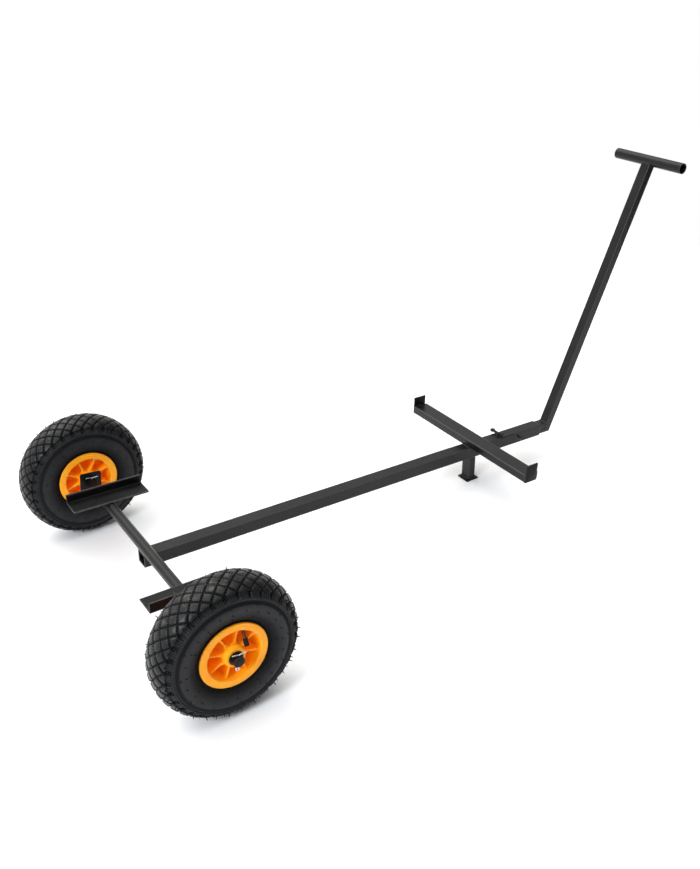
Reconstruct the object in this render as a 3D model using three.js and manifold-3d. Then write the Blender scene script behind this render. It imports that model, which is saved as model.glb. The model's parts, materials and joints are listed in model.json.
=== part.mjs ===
import * as THREE from "three";
import { mergeVertices } from "three/addons/utils/BufferGeometryUtils.js";
import Module from "manifold-3d";

// Two-wheeled pull-along dolly with a T-bar drawbar.
// All sizes are millimetres. +X points forward along the beam, +Y to the left, +Z up.
// The steelwork is drawn with the axle centre at 0,0,0 and then tipped nose-down on its wheels.

const wasm = await Module();
wasm.setup();

// Shaft
const SHAFT_RADIUS = 10;
const BORE_CLEARANCE = 0.08;

// Wheels
const TYRE_RADIUS = 130;
const TYRE_WIDTH = 85;
const TYRE_WALL = 7;
const SIDE_RIB_RADIUS = 104.5;
const SIDE_RIB_HEIGHT = 1.4;
const RIM_LIP_RADIUS = 61;
const RIM_WIDTH = 74;
const RIM_LIP_THICKNESS = 3.2;
const RIM_BARREL_RADIUS = 51;
const BEAD_RADIUS = RIM_BARREL_RADIUS + 1; // the bead clears the barrel
const RIM_WALL = 3.6;
const RIB_COUNT = 8;
const RIB_THICKNESS = 3.6;
const RIB_SETBACK = 8;
const RIB_ANGLE = 16.6; // degrees from the wheel's own +X to the first rib
const WEB_THICKNESS = 5;
const BUSH_WALL = 2.52;
const BUSH_RADIUS = SHAFT_RADIUS + BORE_CLEARANCE + BUSH_WALL;
const HUB_WALL = 5.4;
const HUB_RADIUS = BUSH_RADIUS + HUB_WALL;
const HUB_LENGTH = 82;
const BUSH_LENGTH = 18;
const BUSH_PROUD = 2.2;
const WHEEL_OFFSET = 319.7; // from the middle of the beam to the middle of a wheel
const VALVE_ANGLE = 125; // degrees round the rim from the wheel's own +X, on the outer side
const VALVE_RADIUS = 3.1;
const VALVE_CAP_RADIUS = 4.2;
const VALVE_CAP_LENGTH = 13;

// Axle
const AXLE_TUBE_RADIUS = 10.5;
const AXLE_TUBE_WALL = 2.6;
const AXLE_TUBE_SETBACK = 116.7; // from the end of the tube to the middle of a wheel
const AXLE_TUBE_HALF = WHEEL_OFFSET - AXLE_TUBE_SETBACK;
const SHAFT_PROUD = 10.6; // how far a shaft end stands out of the bush
const SHAFT_END = WHEEL_OFFSET + HUB_LENGTH / 2 + BUSH_PROUD + SHAFT_PROUD;
const SHAFT_CHAMFER = 1;
const WASHER_SIDE = 44;
const WASHER_THICKNESS = 3;
const WASHER_TURN = 3.8; // degrees the loose square washers have turned

// Split pins
const PIN_RADIUS = 1.7;
const PIN_LEG_RADIUS = 1.15;
const PIN_HOLE = PIN_RADIUS + 0.4;
const PIN_FROM_END = 4.5;
const PIN_EYE_RADIUS = 2.9;
const PIN_LEG_REACH = 12;
const PIN_TURN = 9; // degrees

// Beam
const BEAM_WIDTH = 29;
const BEAM_HEIGHT = 27;
const BEAM_WALL = 2;
const BEAM_CORNER = 2.5;
const BEAM_REAR = -7;
const BEAM_FRONT = 998;
const WELD_GAP = 0.3;
const NOSE_DOWN = 2.38; // degrees the beam slopes down towards the front

// Cradles
const CRADLE_REAR = -75;
const CRADLE_LENGTH = 154;
const CRADLE_WIDTH = 44;
const CRADLE_OUTER = AXLE_TUBE_HALF - 2;
const CRADLE_INNER = CRADLE_OUTER - CRADLE_WIDTH;
const CRADLE_HEIGHT = 20.5;
const ANGLE_THICKNESS = 3;

// Cross channel
const CHANNEL_SETBACK = 220.5; // from the back of the channel to the front of the beam
const CHANNEL_REAR = BEAM_FRONT - CHANNEL_SETBACK;
const CHANNEL_DEPTH = 37.5;
const CHANNEL_HEIGHT = 18.5;
const CHANNEL_LENGTH = 383;
const CHANNEL_WALL = 2;
const CHANNEL_CORNER = 2.5;
const END_PLATE_WIDTH = 32;
const END_PLATE_HEIGHT = 40.5;
const END_PLATE_THICKNESS = 3;

// Support leg
const LEG_SETBACK = 209; // from the middle of the leg to the front of the beam
const LEG_MIDDLE = BEAM_FRONT - LEG_SETBACK;
const LEG_DEPTH = 19;
const LEG_WIDTH = 25;
const LEG_WALL = 2;
const FOOT_SIDE = 33;
const FOOT_THICKNESS = 3;

// Drawbar
const SLIDE_CLEARANCE = 0.2;
const INSERT_OVERLAP = 218; // how far the insert reaches into the beam
const INSERT_REAR = BEAM_FRONT - INSERT_OVERLAP;
const INSERT_WALL = 2;
const DRAWBAR_TRAVEL = 120;
const INSERT_SHOWING = 14.4; // from the front of the beam to the foot of the post
const POST_FOOT = BEAM_FRONT + INSERT_SHOWING;
const POST_LEAN = 69.7; // degrees above the beam
const POST_LENGTH = 659; // from the foot to the middle of the grip
const POST_WIDTH = 24;
const POST_DEPTH = 18.5;
const POST_WALL = 1.8;
const POST_CORNER = 2;
const GRIP_RADIUS = 11.5;
const GRIP_WALL = 2;
const GRIP_LENGTH = 184;

// Latch
const LATCH_SETBACK = 121; // from the rod's guide to the front of the beam
const LATCH_X = BEAM_FRONT - LATCH_SETBACK;
const LATCH_ROD_RADIUS = 3.2;
const LATCH_GUIDE_BORE = LATCH_ROD_RADIUS + 0.15;
const LATCH_GUIDE_RADIUS = LATCH_GUIDE_BORE + 1.25;
const LATCH_GUIDE_LENGTH = 12;
const LATCH_REACH = 54; // from the guide to the tooth
const LATCH_TOOTH_X = LATCH_X + LATCH_REACH;
const LATCH_TOOTH_DEPTH = 8;
const LATCH_HOLE_RADIUS = LATCH_ROD_RADIUS + 0.3;
const LATCH_SIDE_GAP = 6.5;
const LATCH_EYE_RADIUS = 3.4;

// Derived positions, with the axle centre at zero
const beamTop = -(AXLE_TUBE_RADIUS + WELD_GAP);
const beamBottom = beamTop - BEAM_HEIGHT;
const beamMiddle = beamTop - BEAM_HEIGHT / 2;
const insertWidth = BEAM_WIDTH - 2 * (BEAM_WALL + SLIDE_CLEARANCE);
const insertHeight = BEAM_HEIGHT - 2 * (BEAM_WALL + SLIDE_CLEARANCE);
const insertBottom = beamMiddle - insertHeight / 2;
const noseDown = THREE.MathUtils.degToRad(NOSE_DOWN);
const lean = THREE.MathUtils.degToRad(POST_LEAN);

// ---------------------------------------------------------------- solids

function solidFrom(geometry) {
  const bare = geometry.clone();
  bare.deleteAttribute("normal");
  bare.deleteAttribute("uv");
  const merged = mergeVertices(bare, 1e-4);
  return new wasm.Manifold(
    new wasm.Mesh({
      numProp: 3,
      vertProperties: new Float32Array(merged.attributes.position.array),
      triVerts: new Uint32Array(merged.index.array),
    }),
  );
}

function geometryFrom(solid) {
  const mesh = solid.getMesh();
  const geometry = new THREE.BufferGeometry();
  geometry.setAttribute("position", new THREE.BufferAttribute(mesh.vertProperties, 3));
  geometry.setIndex(new THREE.BufferAttribute(mesh.triVerts, 1));
  geometry.computeVertexNormals();
  return geometry;
}

function box(x0, x1, y0, y1, z0, z1) {
  const geometry = new THREE.BoxGeometry(x1 - x0, y1 - y0, z1 - z0);
  geometry.translate((x0 + x1) / 2, (y0 + y1) / 2, (z0 + z1) / 2);
  return solidFrom(geometry);
}

// A round bar from one point to another.
function bar(from, to, radius, sides = 32) {
  const along = new THREE.Vector3().subVectors(to, from);
  const geometry = new THREE.CylinderGeometry(radius, radius, along.length(), sides);
  const turn = new THREE.Quaternion().setFromUnitVectors(
    new THREE.Vector3(0, 1, 0),
    along.clone().normalize(),
  );
  geometry.applyQuaternion(turn);
  const middle = from.clone().add(to).multiplyScalar(0.5);
  geometry.translate(middle.x, middle.y, middle.z);
  return solidFrom(geometry);
}

function point(x, y, z) {
  return new THREE.Vector3(x, y, z);
}

function roundedRectangle(width, height, corner) {
  const shape = new THREE.Shape();
  const w = width / 2;
  const h = height / 2;
  shape.moveTo(-w + corner, -h);
  shape.lineTo(w - corner, -h);
  shape.absarc(w - corner, -h + corner, corner, -Math.PI / 2, 0, false);
  shape.lineTo(w, h - corner);
  shape.absarc(w - corner, h - corner, corner, 0, Math.PI / 2, false);
  shape.lineTo(-w + corner, h);
  shape.absarc(-w + corner, h - corner, corner, Math.PI / 2, Math.PI, false);
  shape.lineTo(-w, -h + corner);
  shape.absarc(-w + corner, -h + corner, corner, Math.PI, 1.5 * Math.PI, false);
  return shape;
}

// The corner radius of a faceted hole whose flats lie at the given radius.
function holeRadius(flats, sides) {
  return flats / Math.cos(Math.PI / sides);
}

// A rectangular tube along +Z of the returned geometry, starting at z = 0.
function boxTube(width, height, wall, corner, length) {
  const shape = roundedRectangle(width, height, corner);
  const hole = roundedRectangle(width - 2 * wall, height - 2 * wall, Math.max(corner - wall, 0.5));
  shape.holes.push(hole);
  return new THREE.ExtrudeGeometry(shape, { depth: length, bevelEnabled: false, curveSegments: 3 });
}

// A rectangular tube along +X: width runs along Y, height along Z.
function beamTube(x0, x1, width, height, wall, corner, middleZ) {
  const geometry = boxTube(width, height, wall, corner, x1 - x0);
  geometry.applyMatrix4(new THREE.Matrix4().makeBasis(point(0, 1, 0), point(0, 0, 1), point(1, 0, 0)));
  geometry.translate(x0, 0, middleZ);
  return solidFrom(geometry);
}

// A wire of round section along a smooth curve.
function wire(curve, radius, steps, sides) {
  const circle = new THREE.Shape();
  circle.absarc(0, 0, radius, 0, 2 * Math.PI, false);
  const geometry = new THREE.ExtrudeGeometry(circle, {
    steps,
    extrudePath: curve,
    bevelEnabled: false,
    curveSegments: sides / 2,
  });
  const solid = solidFrom(geometry);
  return solid;
}

// A turned piece about the Y axis, from radius and y pairs that close on themselves.
function turnedAboutY(profile, segments) {
  const points = profile.map(([radius, y]) => new THREE.Vector2(radius, y));
  points.push(points[0].clone());
  return solidFrom(new THREE.LatheGeometry(points, segments));
}

// ---------------------------------------------------------------- finishes

const FINISH = {
  black_steel: { color: 0x2b2b29, roughness: 0.48, metalness: 0.15 },
  rubber: { color: 0x232427, roughness: 0.72, metalness: 0 },
  orange_plastic: { color: 0xf58a12, roughness: 0.42, metalness: 0 },
  zinc: { color: 0xb9bcc0, roughness: 0.3, metalness: 0.9 },
  black_plastic: { color: 0x1a1a1b, roughness: 0.5, metalness: 0 },
  brass: { color: 0xb08d4c, roughness: 0.35, metalness: 0.9 },
};

function node(parent, name, solid, finish) {
  const mesh = new THREE.Mesh(geometryFrom(solid), new THREE.MeshStandardMaterial(FINISH[finish]));
  mesh.name = name;
  parent.add(mesh);
  return mesh;
}

// Both sides of the dolly: +1 is the left, -1 the right.
const SIDES = [
  ["left", 1],
  ["right", -1],
];

// ---------------------------------------------------------------- beam and axle

function mainBeam() {
  const tube = beamTube(BEAM_REAR, BEAM_FRONT, BEAM_WIDTH, BEAM_HEIGHT, BEAM_WALL, BEAM_CORNER, beamMiddle);
  const hole = bar(
    point(LATCH_TOOTH_X, -BEAM_WIDTH / 2 - 2, beamMiddle),
    point(LATCH_TOOTH_X, -BEAM_WIDTH / 2 + BEAM_WALL + 1, beamMiddle),
    LATCH_HOLE_RADIUS,
    20,
  );
  return tube.subtract(hole);
}

function axleTube() {
  const outer = bar(point(0, -AXLE_TUBE_HALF, 0), point(0, AXLE_TUBE_HALF, 0), AXLE_TUBE_RADIUS, 40);
  const bore = bar(
    point(0, -AXLE_TUBE_HALF - 1, 0),
    point(0, AXLE_TUBE_HALF + 1, 0),
    AXLE_TUBE_RADIUS - AXLE_TUBE_WALL,
    32,
  );
  return outer.subtract(bore);
}

function pinOuterY() {
  return SHAFT_END - PIN_FROM_END;
}

function washerInnerY() {
  return WHEEL_OFFSET - HUB_LENGTH / 2 - BUSH_PROUD - WASHER_THICKNESS - 0.8;
}

function pinInnerY() {
  return washerInnerY() - PIN_RADIUS - 2;
}

function axleShaft(side) {
  const inner = side * (AXLE_TUBE_HALF + WELD_GAP);
  const outer = side * SHAFT_END;
  const chamferStart = side * (SHAFT_END - SHAFT_CHAMFER);
  let shaft = bar(point(0, inner, 0), point(0, chamferStart, 0), SHAFT_RADIUS, 40);
  const tip = new THREE.CylinderGeometry(
    side > 0 ? SHAFT_RADIUS - SHAFT_CHAMFER : SHAFT_RADIUS,
    side > 0 ? SHAFT_RADIUS : SHAFT_RADIUS - SHAFT_CHAMFER,
    SHAFT_CHAMFER,
    40,
  );
  tip.translate(0, (outer + chamferStart) / 2, 0);
  shaft = shaft.add(solidFrom(tip));
  for (const y of [pinOuterY(), pinInnerY()]) {
    const past = SHAFT_RADIUS + 4;
    const hole = bar(point(0, side * y, -past), point(0, side * y, past), PIN_HOLE, 16);
    shaft = shaft.subtract(hole.rotate([0, PIN_TURN, 0]));
  }
  return shaft;
}

function cradle(side) {
  const z0 = AXLE_TUBE_RADIUS + WELD_GAP;
  const shape = new THREE.Shape();
  const flange = CRADLE_OUTER - CRADLE_INNER;
  const t = ANGLE_THICKNESS;
  shape.moveTo(0, 0);
  shape.lineTo(flange, 0);
  shape.lineTo(flange, CRADLE_HEIGHT);
  shape.absarc(flange - t * 0.6, CRADLE_HEIGHT - t * 0.4, t * 0.4, 0.5 * Math.PI, Math.PI, false);
  shape.lineTo(flange - t, t + 2);
  shape.absarc(flange - t - 2, t + 2, 2, 0, -Math.PI / 2, true);
  shape.lineTo(1, t);
  shape.lineTo(0, t - 1);
  const geometry = new THREE.ExtrudeGeometry(shape, {
    depth: CRADLE_LENGTH,
    bevelEnabled: false,
    curveSegments: 4,
  });
  geometry.applyMatrix4(new THREE.Matrix4().makeBasis(point(0, 1, 0), point(0, 0, 1), point(1, 0, 0)));
  geometry.translate(CRADLE_REAR, CRADLE_INNER, z0);
  const left = solidFrom(geometry);
  return side > 0 ? left : left.mirror([0, 1, 0]);
}

function squareWasher(side) {
  const half = WASHER_SIDE / 2;
  const y = washerInnerY();
  const plate = box(-half, half, y, y + WASHER_THICKNESS, -half, half);
  const hole = bar(point(0, y - 1, 0), point(0, y + WASHER_THICKNESS + 1, 0), SHAFT_RADIUS + 0.6, 32);
  const left = plate.subtract(hole).rotate([0, WASHER_TURN, 0]);
  return side > 0 ? left : left.mirror([0, 1, 0]);
}

// A split pin through the shaft: its eye hangs below and its two legs are bent apart on top.
function splitPin(side, y) {
  const top = SHAFT_RADIUS + PIN_LEG_RADIUS + 0.9;
  const eyeZ = -(SHAFT_RADIUS + PIN_EYE_RADIUS + 2.6);
  let pin = bar(point(0, 0, eyeZ + PIN_EYE_RADIUS), point(0, 0, SHAFT_RADIUS + 0.6), PIN_RADIUS, 12);
  const ring = new THREE.TorusGeometry(PIN_EYE_RADIUS, PIN_LEG_RADIUS, 8, 20);
  ring.rotateX(Math.PI / 2);
  ring.translate(0, 0, eyeZ);
  pin = pin.add(solidFrom(ring));
  for (const [way, rise] of [
    [-1, 0],
    [1, 2.6],
  ]) {
    const path = [
      point(way * 0.35, 0, 4),
      point(way * 0.35, 0, SHAFT_RADIUS - 1),
      point(way * 1.2, 0, top - 0.2),
      point(way * 5, 0, top + rise * 0.3),
      point(way * PIN_LEG_REACH, 0, top + rise),
    ];
    pin = pin.add(wire(new THREE.CatmullRomCurve3(path, false, "centripetal"), PIN_LEG_RADIUS, 14, 6));
  }
  return pin.rotate([0, PIN_TURN, 0]).translate([0, side * y, 0]);
}

// ---------------------------------------------------------------- cross channel and leg

function crossChannel() {
  const geometry = boxTube(CHANNEL_DEPTH, CHANNEL_HEIGHT, CHANNEL_WALL, CHANNEL_CORNER, CHANNEL_LENGTH);
  geometry.applyMatrix4(new THREE.Matrix4().makeBasis(point(1, 0, 0), point(0, 0, 1), point(0, -1, 0)));
  geometry.translate(
    CHANNEL_REAR + CHANNEL_DEPTH / 2,
    CHANNEL_LENGTH / 2,
    beamTop + WELD_GAP + CHANNEL_HEIGHT / 2,
  );
  return solidFrom(geometry);
}

function crossPlate(side) {
  const inner = CHANNEL_LENGTH / 2 + WELD_GAP;
  const z0 = beamTop + WELD_GAP;
  const left = box(
    CHANNEL_REAR,
    CHANNEL_REAR + END_PLATE_WIDTH,
    inner,
    inner + END_PLATE_THICKNESS,
    z0,
    z0 + END_PLATE_HEIGHT,
  );
  return side > 0 ? left : left.mirror([0, 1, 0]);
}

// The leg is upright on the floor, so its top is cut to the slope of the beam.
function supportLeg() {
  const foot = -TYRE_RADIUS + FOOT_THICKNESS + WELD_GAP;
  const geometry = boxTube(LEG_DEPTH, LEG_WIDTH, LEG_WALL, 2, TYRE_RADIUS);
  geometry.translate(LEG_MIDDLE, 0, foot);
  const beam = box(BEAM_REAR, BEAM_FRONT, -60, 60, beamBottom - WELD_GAP, beamTop + 120);
  return solidFrom(geometry).subtract(beam.rotate([0, NOSE_DOWN, 0]));
}

function footPlate() {
  const half = FOOT_SIDE / 2;
  return box(
    LEG_MIDDLE - half,
    LEG_MIDDLE + half,
    -half,
    half,
    -TYRE_RADIUS,
    -TYRE_RADIUS + FOOT_THICKNESS,
  );
}

// ---------------------------------------------------------------- drawbar

// Turns a solid drawn along +X, with its lower face on z = 0, up to the lean of the post.
function leaned(solid) {
  return solid.rotate([0, -POST_LEAN, 0]).translate([POST_FOOT, 0, insertBottom]);
}

function gripCentre() {
  return point(
    POST_FOOT + POST_LENGTH * Math.cos(lean) + (POST_DEPTH / 2) * Math.sin(lean),
    0,
    insertBottom + POST_LENGTH * Math.sin(lean) - (POST_DEPTH / 2) * Math.cos(lean),
  );
}

function drawbarInsert() {
  const tube = beamTube(
    INSERT_REAR,
    POST_FOOT + 30,
    insertWidth,
    insertHeight,
    INSERT_WALL,
    BEAM_CORNER - BEAM_WALL + 0.8,
    beamMiddle,
  );
  const ahead = leaned(box(-80, 200, -60, 60, -200, WELD_GAP));
  const slotRear = LATCH_TOOTH_X - DRAWBAR_TRAVEL;
  const y0 = -insertWidth / 2 - 1;
  const y1 = -insertWidth / 2 + INSERT_WALL + 1;
  let slot = box(slotRear, LATCH_TOOTH_X, y0, y1, beamMiddle - LATCH_HOLE_RADIUS, beamMiddle + LATCH_HOLE_RADIUS);
  for (const x of [slotRear, LATCH_TOOTH_X]) {
    slot = slot.add(bar(point(x, y0, beamMiddle), point(x, y1, beamMiddle), LATCH_HOLE_RADIUS, 20));
  }
  return tube.subtract(ahead).subtract(slot);
}

function handlePost() {
  const geometry = boxTube(POST_WIDTH, POST_DEPTH, POST_WALL, POST_CORNER, POST_LENGTH + 60);
  geometry.applyMatrix4(new THREE.Matrix4().makeBasis(point(0, 1, 0), point(0, 0, 1), point(1, 0, 0)));
  geometry.translate(-40, 0, -POST_DEPTH / 2);
  const post = leaned(solidFrom(geometry));
  const below = box(POST_FOOT - 100, POST_FOOT + 100, -60, 60, insertBottom - 200, insertBottom);
  const centre = gripCentre();
  const saddle = bar(
    point(centre.x, -60, centre.z),
    point(centre.x, 60, centre.z),
    GRIP_RADIUS + WELD_GAP,
    48,
  );
  const beyond = leaned(box(POST_LENGTH, POST_LENGTH + 80, -60, 60, -60, 60));
  return post.subtract(below).subtract(beyond).subtract(saddle);
}

function gripTube() {
  const centre = gripCentre();
  const half = GRIP_LENGTH / 2;
  const outer = bar(point(centre.x, -half, centre.z), point(centre.x, half, centre.z), GRIP_RADIUS, 40);
  const bore = bar(
    point(centre.x, -half - 1, centre.z),
    point(centre.x, half + 1, centre.z),
    GRIP_RADIUS - GRIP_WALL,
    32,
  );
  return outer.subtract(bore);
}

// ---------------------------------------------------------------- latch

function latchRodZ() {
  return beamTop + WELD_GAP + LATCH_GUIDE_RADIUS;
}

function latchGuide() {
  const y0 = -BEAM_WIDTH / 2 + 1;
  const y1 = y0 + LATCH_GUIDE_LENGTH;
  const z = latchRodZ();
  const outer = bar(point(LATCH_X, y0, z), point(LATCH_X, y1, z), LATCH_GUIDE_RADIUS, 28);
  return outer.subtract(bar(point(LATCH_X, y0 - 1, z), point(LATCH_X, y1 + 1, z), LATCH_GUIDE_BORE, 28));
}

// A bent rod: across the top of the beam, forward along its right side, then into the side hole.
function latchRod() {
  const z = latchRodZ();
  const outside = -BEAM_WIDTH / 2 - LATCH_SIDE_GAP;
  const eyeY = BEAM_WIDTH / 2 + 4;
  const path = [
    point(LATCH_X, eyeY, z),
    point(LATCH_X, 4, z),
    point(LATCH_X, -8, z),
    point(LATCH_X, outside + 5, z),
    point(LATCH_X + 1.6, outside + 1.4, z),
    point(LATCH_X + 6, outside, z),
    point(LATCH_X + 24, outside, z - 0.5),
    point(LATCH_TOOTH_X - 12, outside, beamMiddle + 4.5),
    point(LATCH_TOOTH_X - 5, outside, beamMiddle + 1),
    point(LATCH_TOOTH_X - 1, outside + 1.6, beamMiddle),
    point(LATCH_TOOTH_X, outside + 5, beamMiddle),
    point(LATCH_TOOTH_X, -BEAM_WIDTH / 2 + LATCH_TOOTH_DEPTH, beamMiddle),
  ];
  let rod = wire(new THREE.CatmullRomCurve3(path, false, "centripetal"), LATCH_ROD_RADIUS, 44, 10);
  const eyeTop = point(LATCH_X, eyeY + 2, z + LATCH_ROD_RADIUS * 0.85);
  const eyeBottom = point(LATCH_X, eyeY + 2, z - LATCH_ROD_RADIUS * 0.85);
  rod = rod.add(bar(eyeBottom, eyeTop, LATCH_EYE_RADIUS + 2.4, 28));
  return rod.subtract(
    bar(point(LATCH_X, eyeY + 2, z - 8), point(LATCH_X, eyeY + 2, z + 8), LATCH_EYE_RADIUS - 1.2, 20),
  );
}

// ---------------------------------------------------------------- wheels, drawn about 0,0,0

function tyre() {
  const half = TYRE_WIDTH / 2;
  const middle = (TYRE_RADIUS + BEAD_RADIUS) / 2;
  const deep = (TYRE_RADIUS - BEAD_RADIUS) / 2;
  const beadHalf = RIM_WIDTH / 2 - RIM_LIP_THICKNESS - 0.5;
  const lipClear = RIM_LIP_RADIUS + 1.5;
  const outer = [];
  const steps = 15;
  for (let i = 0; i <= steps; i += 1) {
    const a = -Math.PI * 0.36 + (i / steps) * Math.PI * 1.72;
    const c = Math.cos(a);
    const s = Math.sin(a);
    const r = middle + deep * Math.sign(s) * Math.pow(Math.abs(s), 0.87);
    let y = half * Math.sign(c) * Math.pow(Math.abs(c), 0.87);
    if (Math.abs(r - SIDE_RIB_RADIUS) < 4) {
      y += Math.sign(y) * SIDE_RIB_HEIGHT * 0.2;
    }
    outer.push([r, y]);
  }
  const inner = [];
  for (let i = 0; i <= 8; i += 1) {
    const a = Math.PI * 1.28 - (i / 8) * Math.PI * 1.56;
    const r = middle + (deep - TYRE_WALL) * Math.sin(a);
    const y = (half - TYRE_WALL) * Math.cos(a);
    inner.push([r, y]);
  }
  const left = [
    [lipClear, -beadHalf],
    [BEAD_RADIUS, -beadHalf],
    [BEAD_RADIUS, -beadHalf + TYRE_WALL],
  ];
  const right = [
    [BEAD_RADIUS, beadHalf - TYRE_WALL],
    [BEAD_RADIUS, beadHalf],
    [lipClear, beadHalf],
  ];
  const section = [...right, ...trimmed(outer), ...left, ...inner];
  return turnedAboutY(section.reverse(), 48);
}

// Keeps the outer points that clear the rim lips.
function trimmed(points) {
  return points.filter(([r]) => r > RIM_LIP_RADIUS + 4);
}

function rim() {
  const half = RIM_WIDTH / 2;
  const lipInner = RIM_BARREL_RADIUS - RIM_WALL;
  let solid = turnedAboutY(
    [
      [lipInner, -half],
      [RIM_LIP_RADIUS - 1, -half],
      [RIM_LIP_RADIUS, -half + 1],
      [RIM_LIP_RADIUS, -half + RIM_LIP_THICKNESS],
      [RIM_BARREL_RADIUS, -half + RIM_LIP_THICKNESS + 0.4],
      [RIM_BARREL_RADIUS, half - RIM_LIP_THICKNESS - 0.4],
      [RIM_LIP_RADIUS, half - RIM_LIP_THICKNESS],
      [RIM_LIP_RADIUS, half - 1],
      [RIM_LIP_RADIUS - 1, half],
      [lipInner, half],
    ],
    48,
  );
  const web = WEB_THICKNESS / 2;
  const hub = HUB_LENGTH / 2;
  solid = solid.add(bar(point(0, -web, 0), point(0, web, 0), lipInner + 1, 48));
  solid = solid.add(bar(point(0, -hub, 0), point(0, hub, 0), HUB_RADIUS, 32));
  for (let i = 0; i < RIB_COUNT; i += 1) {
    const spoke = box(
      HUB_RADIUS - 3,
      lipInner + 1,
      -half + RIB_SETBACK,
      half - RIB_SETBACK,
      -RIB_THICKNESS / 2,
      RIB_THICKNESS / 2,
    );
    solid = solid.add(spoke.rotate([0, -RIB_ANGLE - (360 / RIB_COUNT) * i, 0]));
  }
  const pocket = hub - BUSH_LENGTH - WELD_GAP;
  solid = solid.subtract(bar(point(0, -hub - 1, 0), point(0, hub + 1, 0), SHAFT_RADIUS + 1.5, 32));
  for (const s of [1, -1]) {
    solid = solid.subtract(bar(point(0, s * pocket, 0), point(0, s * (hub + 1), 0), BUSH_RADIUS + 0.3, 32));
  }
  return solid.subtract(valveHole());
}

function bush(side) {
  const hub = HUB_LENGTH / 2;
  const body = bar(point(0, hub - BUSH_LENGTH, 0), point(0, hub + BUSH_PROUD, 0), BUSH_RADIUS, 32);
  const bore = holeRadius(SHAFT_RADIUS + BORE_CLEARANCE, 40);
  const solid = body.subtract(bar(point(0, -1, 0), point(0, hub + 9, 0), bore, 40));
  return side > 0 ? solid : solid.mirror([0, 1, 0]);
}

// The valve leaves the rim barrel and leans out between two ribs.
function valveLine() {
  const a = THREE.MathUtils.degToRad(VALVE_ANGLE);
  const radial = point(Math.cos(a), 0, Math.sin(a));
  const start = radial.clone().multiplyScalar(RIM_BARREL_RADIUS + 2).add(point(0, 12.5, 0));
  const bend = radial.clone().multiplyScalar(43).add(point(0, 20, 0));
  const end = point(-23, 37.1, 10.1);
  return { start, bend, end };
}

// The hole through the barrel, and the room that the stem and its cap keep beside the ribs.
function valveHole() {
  const { start, bend, end } = valveLine();
  const inward = start.clone().sub(bend).normalize();
  const outward = end.clone().sub(bend).normalize();
  const capStart = end.clone().sub(outward.clone().multiplyScalar(VALVE_CAP_LENGTH + 1));
  const hole = bar(bend, start.clone().add(inward), VALVE_RADIUS + 0.6, 20);
  const beside = bar(bend.clone().sub(outward), end, VALVE_RADIUS + 0.6, 20);
  const room = bar(capStart, end.clone().add(outward), VALVE_CAP_RADIUS + 0.5, 20);
  return hole.add(beside).add(room);
}

function valveStem() {
  const { start, bend, end } = valveLine();
  const along = end.clone().sub(bend).normalize();
  const capStart = end.clone().sub(along.clone().multiplyScalar(VALVE_CAP_LENGTH));
  const tip = end.clone().sub(along.clone().multiplyScalar(3));
  const curve = new THREE.CatmullRomCurve3(
    [start, start.clone().lerp(bend, 0.6), bend.clone().lerp(end, 0.18), capStart, tip],
    false,
    "centripetal",
  );
  return wire(curve, VALVE_RADIUS, 12, 8);
}

function valveCap() {
  const { bend, end } = valveLine();
  const along = end.clone().sub(bend).normalize();
  const capStart = end.clone().sub(along.clone().multiplyScalar(VALVE_CAP_LENGTH));
  const inside = end.clone().sub(along.clone().multiplyScalar(2.2));
  const outer = bar(capStart, end, VALVE_CAP_RADIUS, 18);
  return outer.subtract(bar(capStart.clone().sub(along), inside, VALVE_RADIUS + 0.4, 16));
}

// ---------------------------------------------------------------- assembly

const group = new THREE.Group();
group.name = "dolly";

const steelwork = new THREE.Group();
steelwork.name = "steelwork";
steelwork.rotation.y = noseDown;
group.add(steelwork);

node(steelwork, "main_beam", mainBeam(), "black_steel");
node(steelwork, "axle_tube", axleTube(), "black_steel");
node(steelwork, "cross_channel", crossChannel(), "black_steel");
node(steelwork, "drawbar_insert", drawbarInsert(), "black_steel");
node(steelwork, "handle_post", handlePost(), "black_steel");
node(steelwork, "grip_tube", gripTube(), "black_steel");
node(steelwork, "latch_guide", latchGuide(), "black_steel");
node(steelwork, "latch_rod", latchRod(), "black_steel");
node(group, "support_leg", supportLeg(), "black_steel");
node(group, "foot_plate", footPlate(), "black_steel");

for (const [word, side] of SIDES) {
  node(steelwork, "cradle_" + word, cradle(side), "black_steel");
  node(steelwork, "cross_plate_" + word, crossPlate(side), "black_steel");
  node(steelwork, "axle_shaft_" + word, axleShaft(side), "black_steel");
  node(steelwork, "square_washer_" + word, squareWasher(side), "black_steel");
  node(steelwork, "split_pin_outer_" + word, splitPin(side, pinOuterY()), "zinc");
  node(steelwork, "split_pin_inner_" + word, splitPin(side, pinInnerY()), "zinc");

  const wheel = new THREE.Group();
  wheel.name = "wheel_" + word;
  wheel.position.y = side * WHEEL_OFFSET;
  wheel.rotation.z = side > 0 ? 0 : Math.PI;
  group.add(wheel);
  node(wheel, "tyre_" + word, tyre(), "rubber");
  node(wheel, "rim_" + word, rim(), "orange_plastic");
  node(wheel, "bush_outer_" + word, bush(1), "black_plastic");
  node(wheel, "bush_inner_" + word, bush(-1), "black_plastic");
  node(wheel, "valve_stem_" + word, valveStem(), "brass");
  node(wheel, "valve_cap_" + word, valveCap(), "black_plastic");
}

// Stand the dolly on the floor with the middle of its plan over the origin.
group.updateMatrixWorld(true);
const bounds = new THREE.Box3().setFromObject(group, true);
group.position.x = -(bounds.min.x + bounds.max.x) / 2;
group.position.z = TYRE_RADIUS;

export default group;
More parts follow.
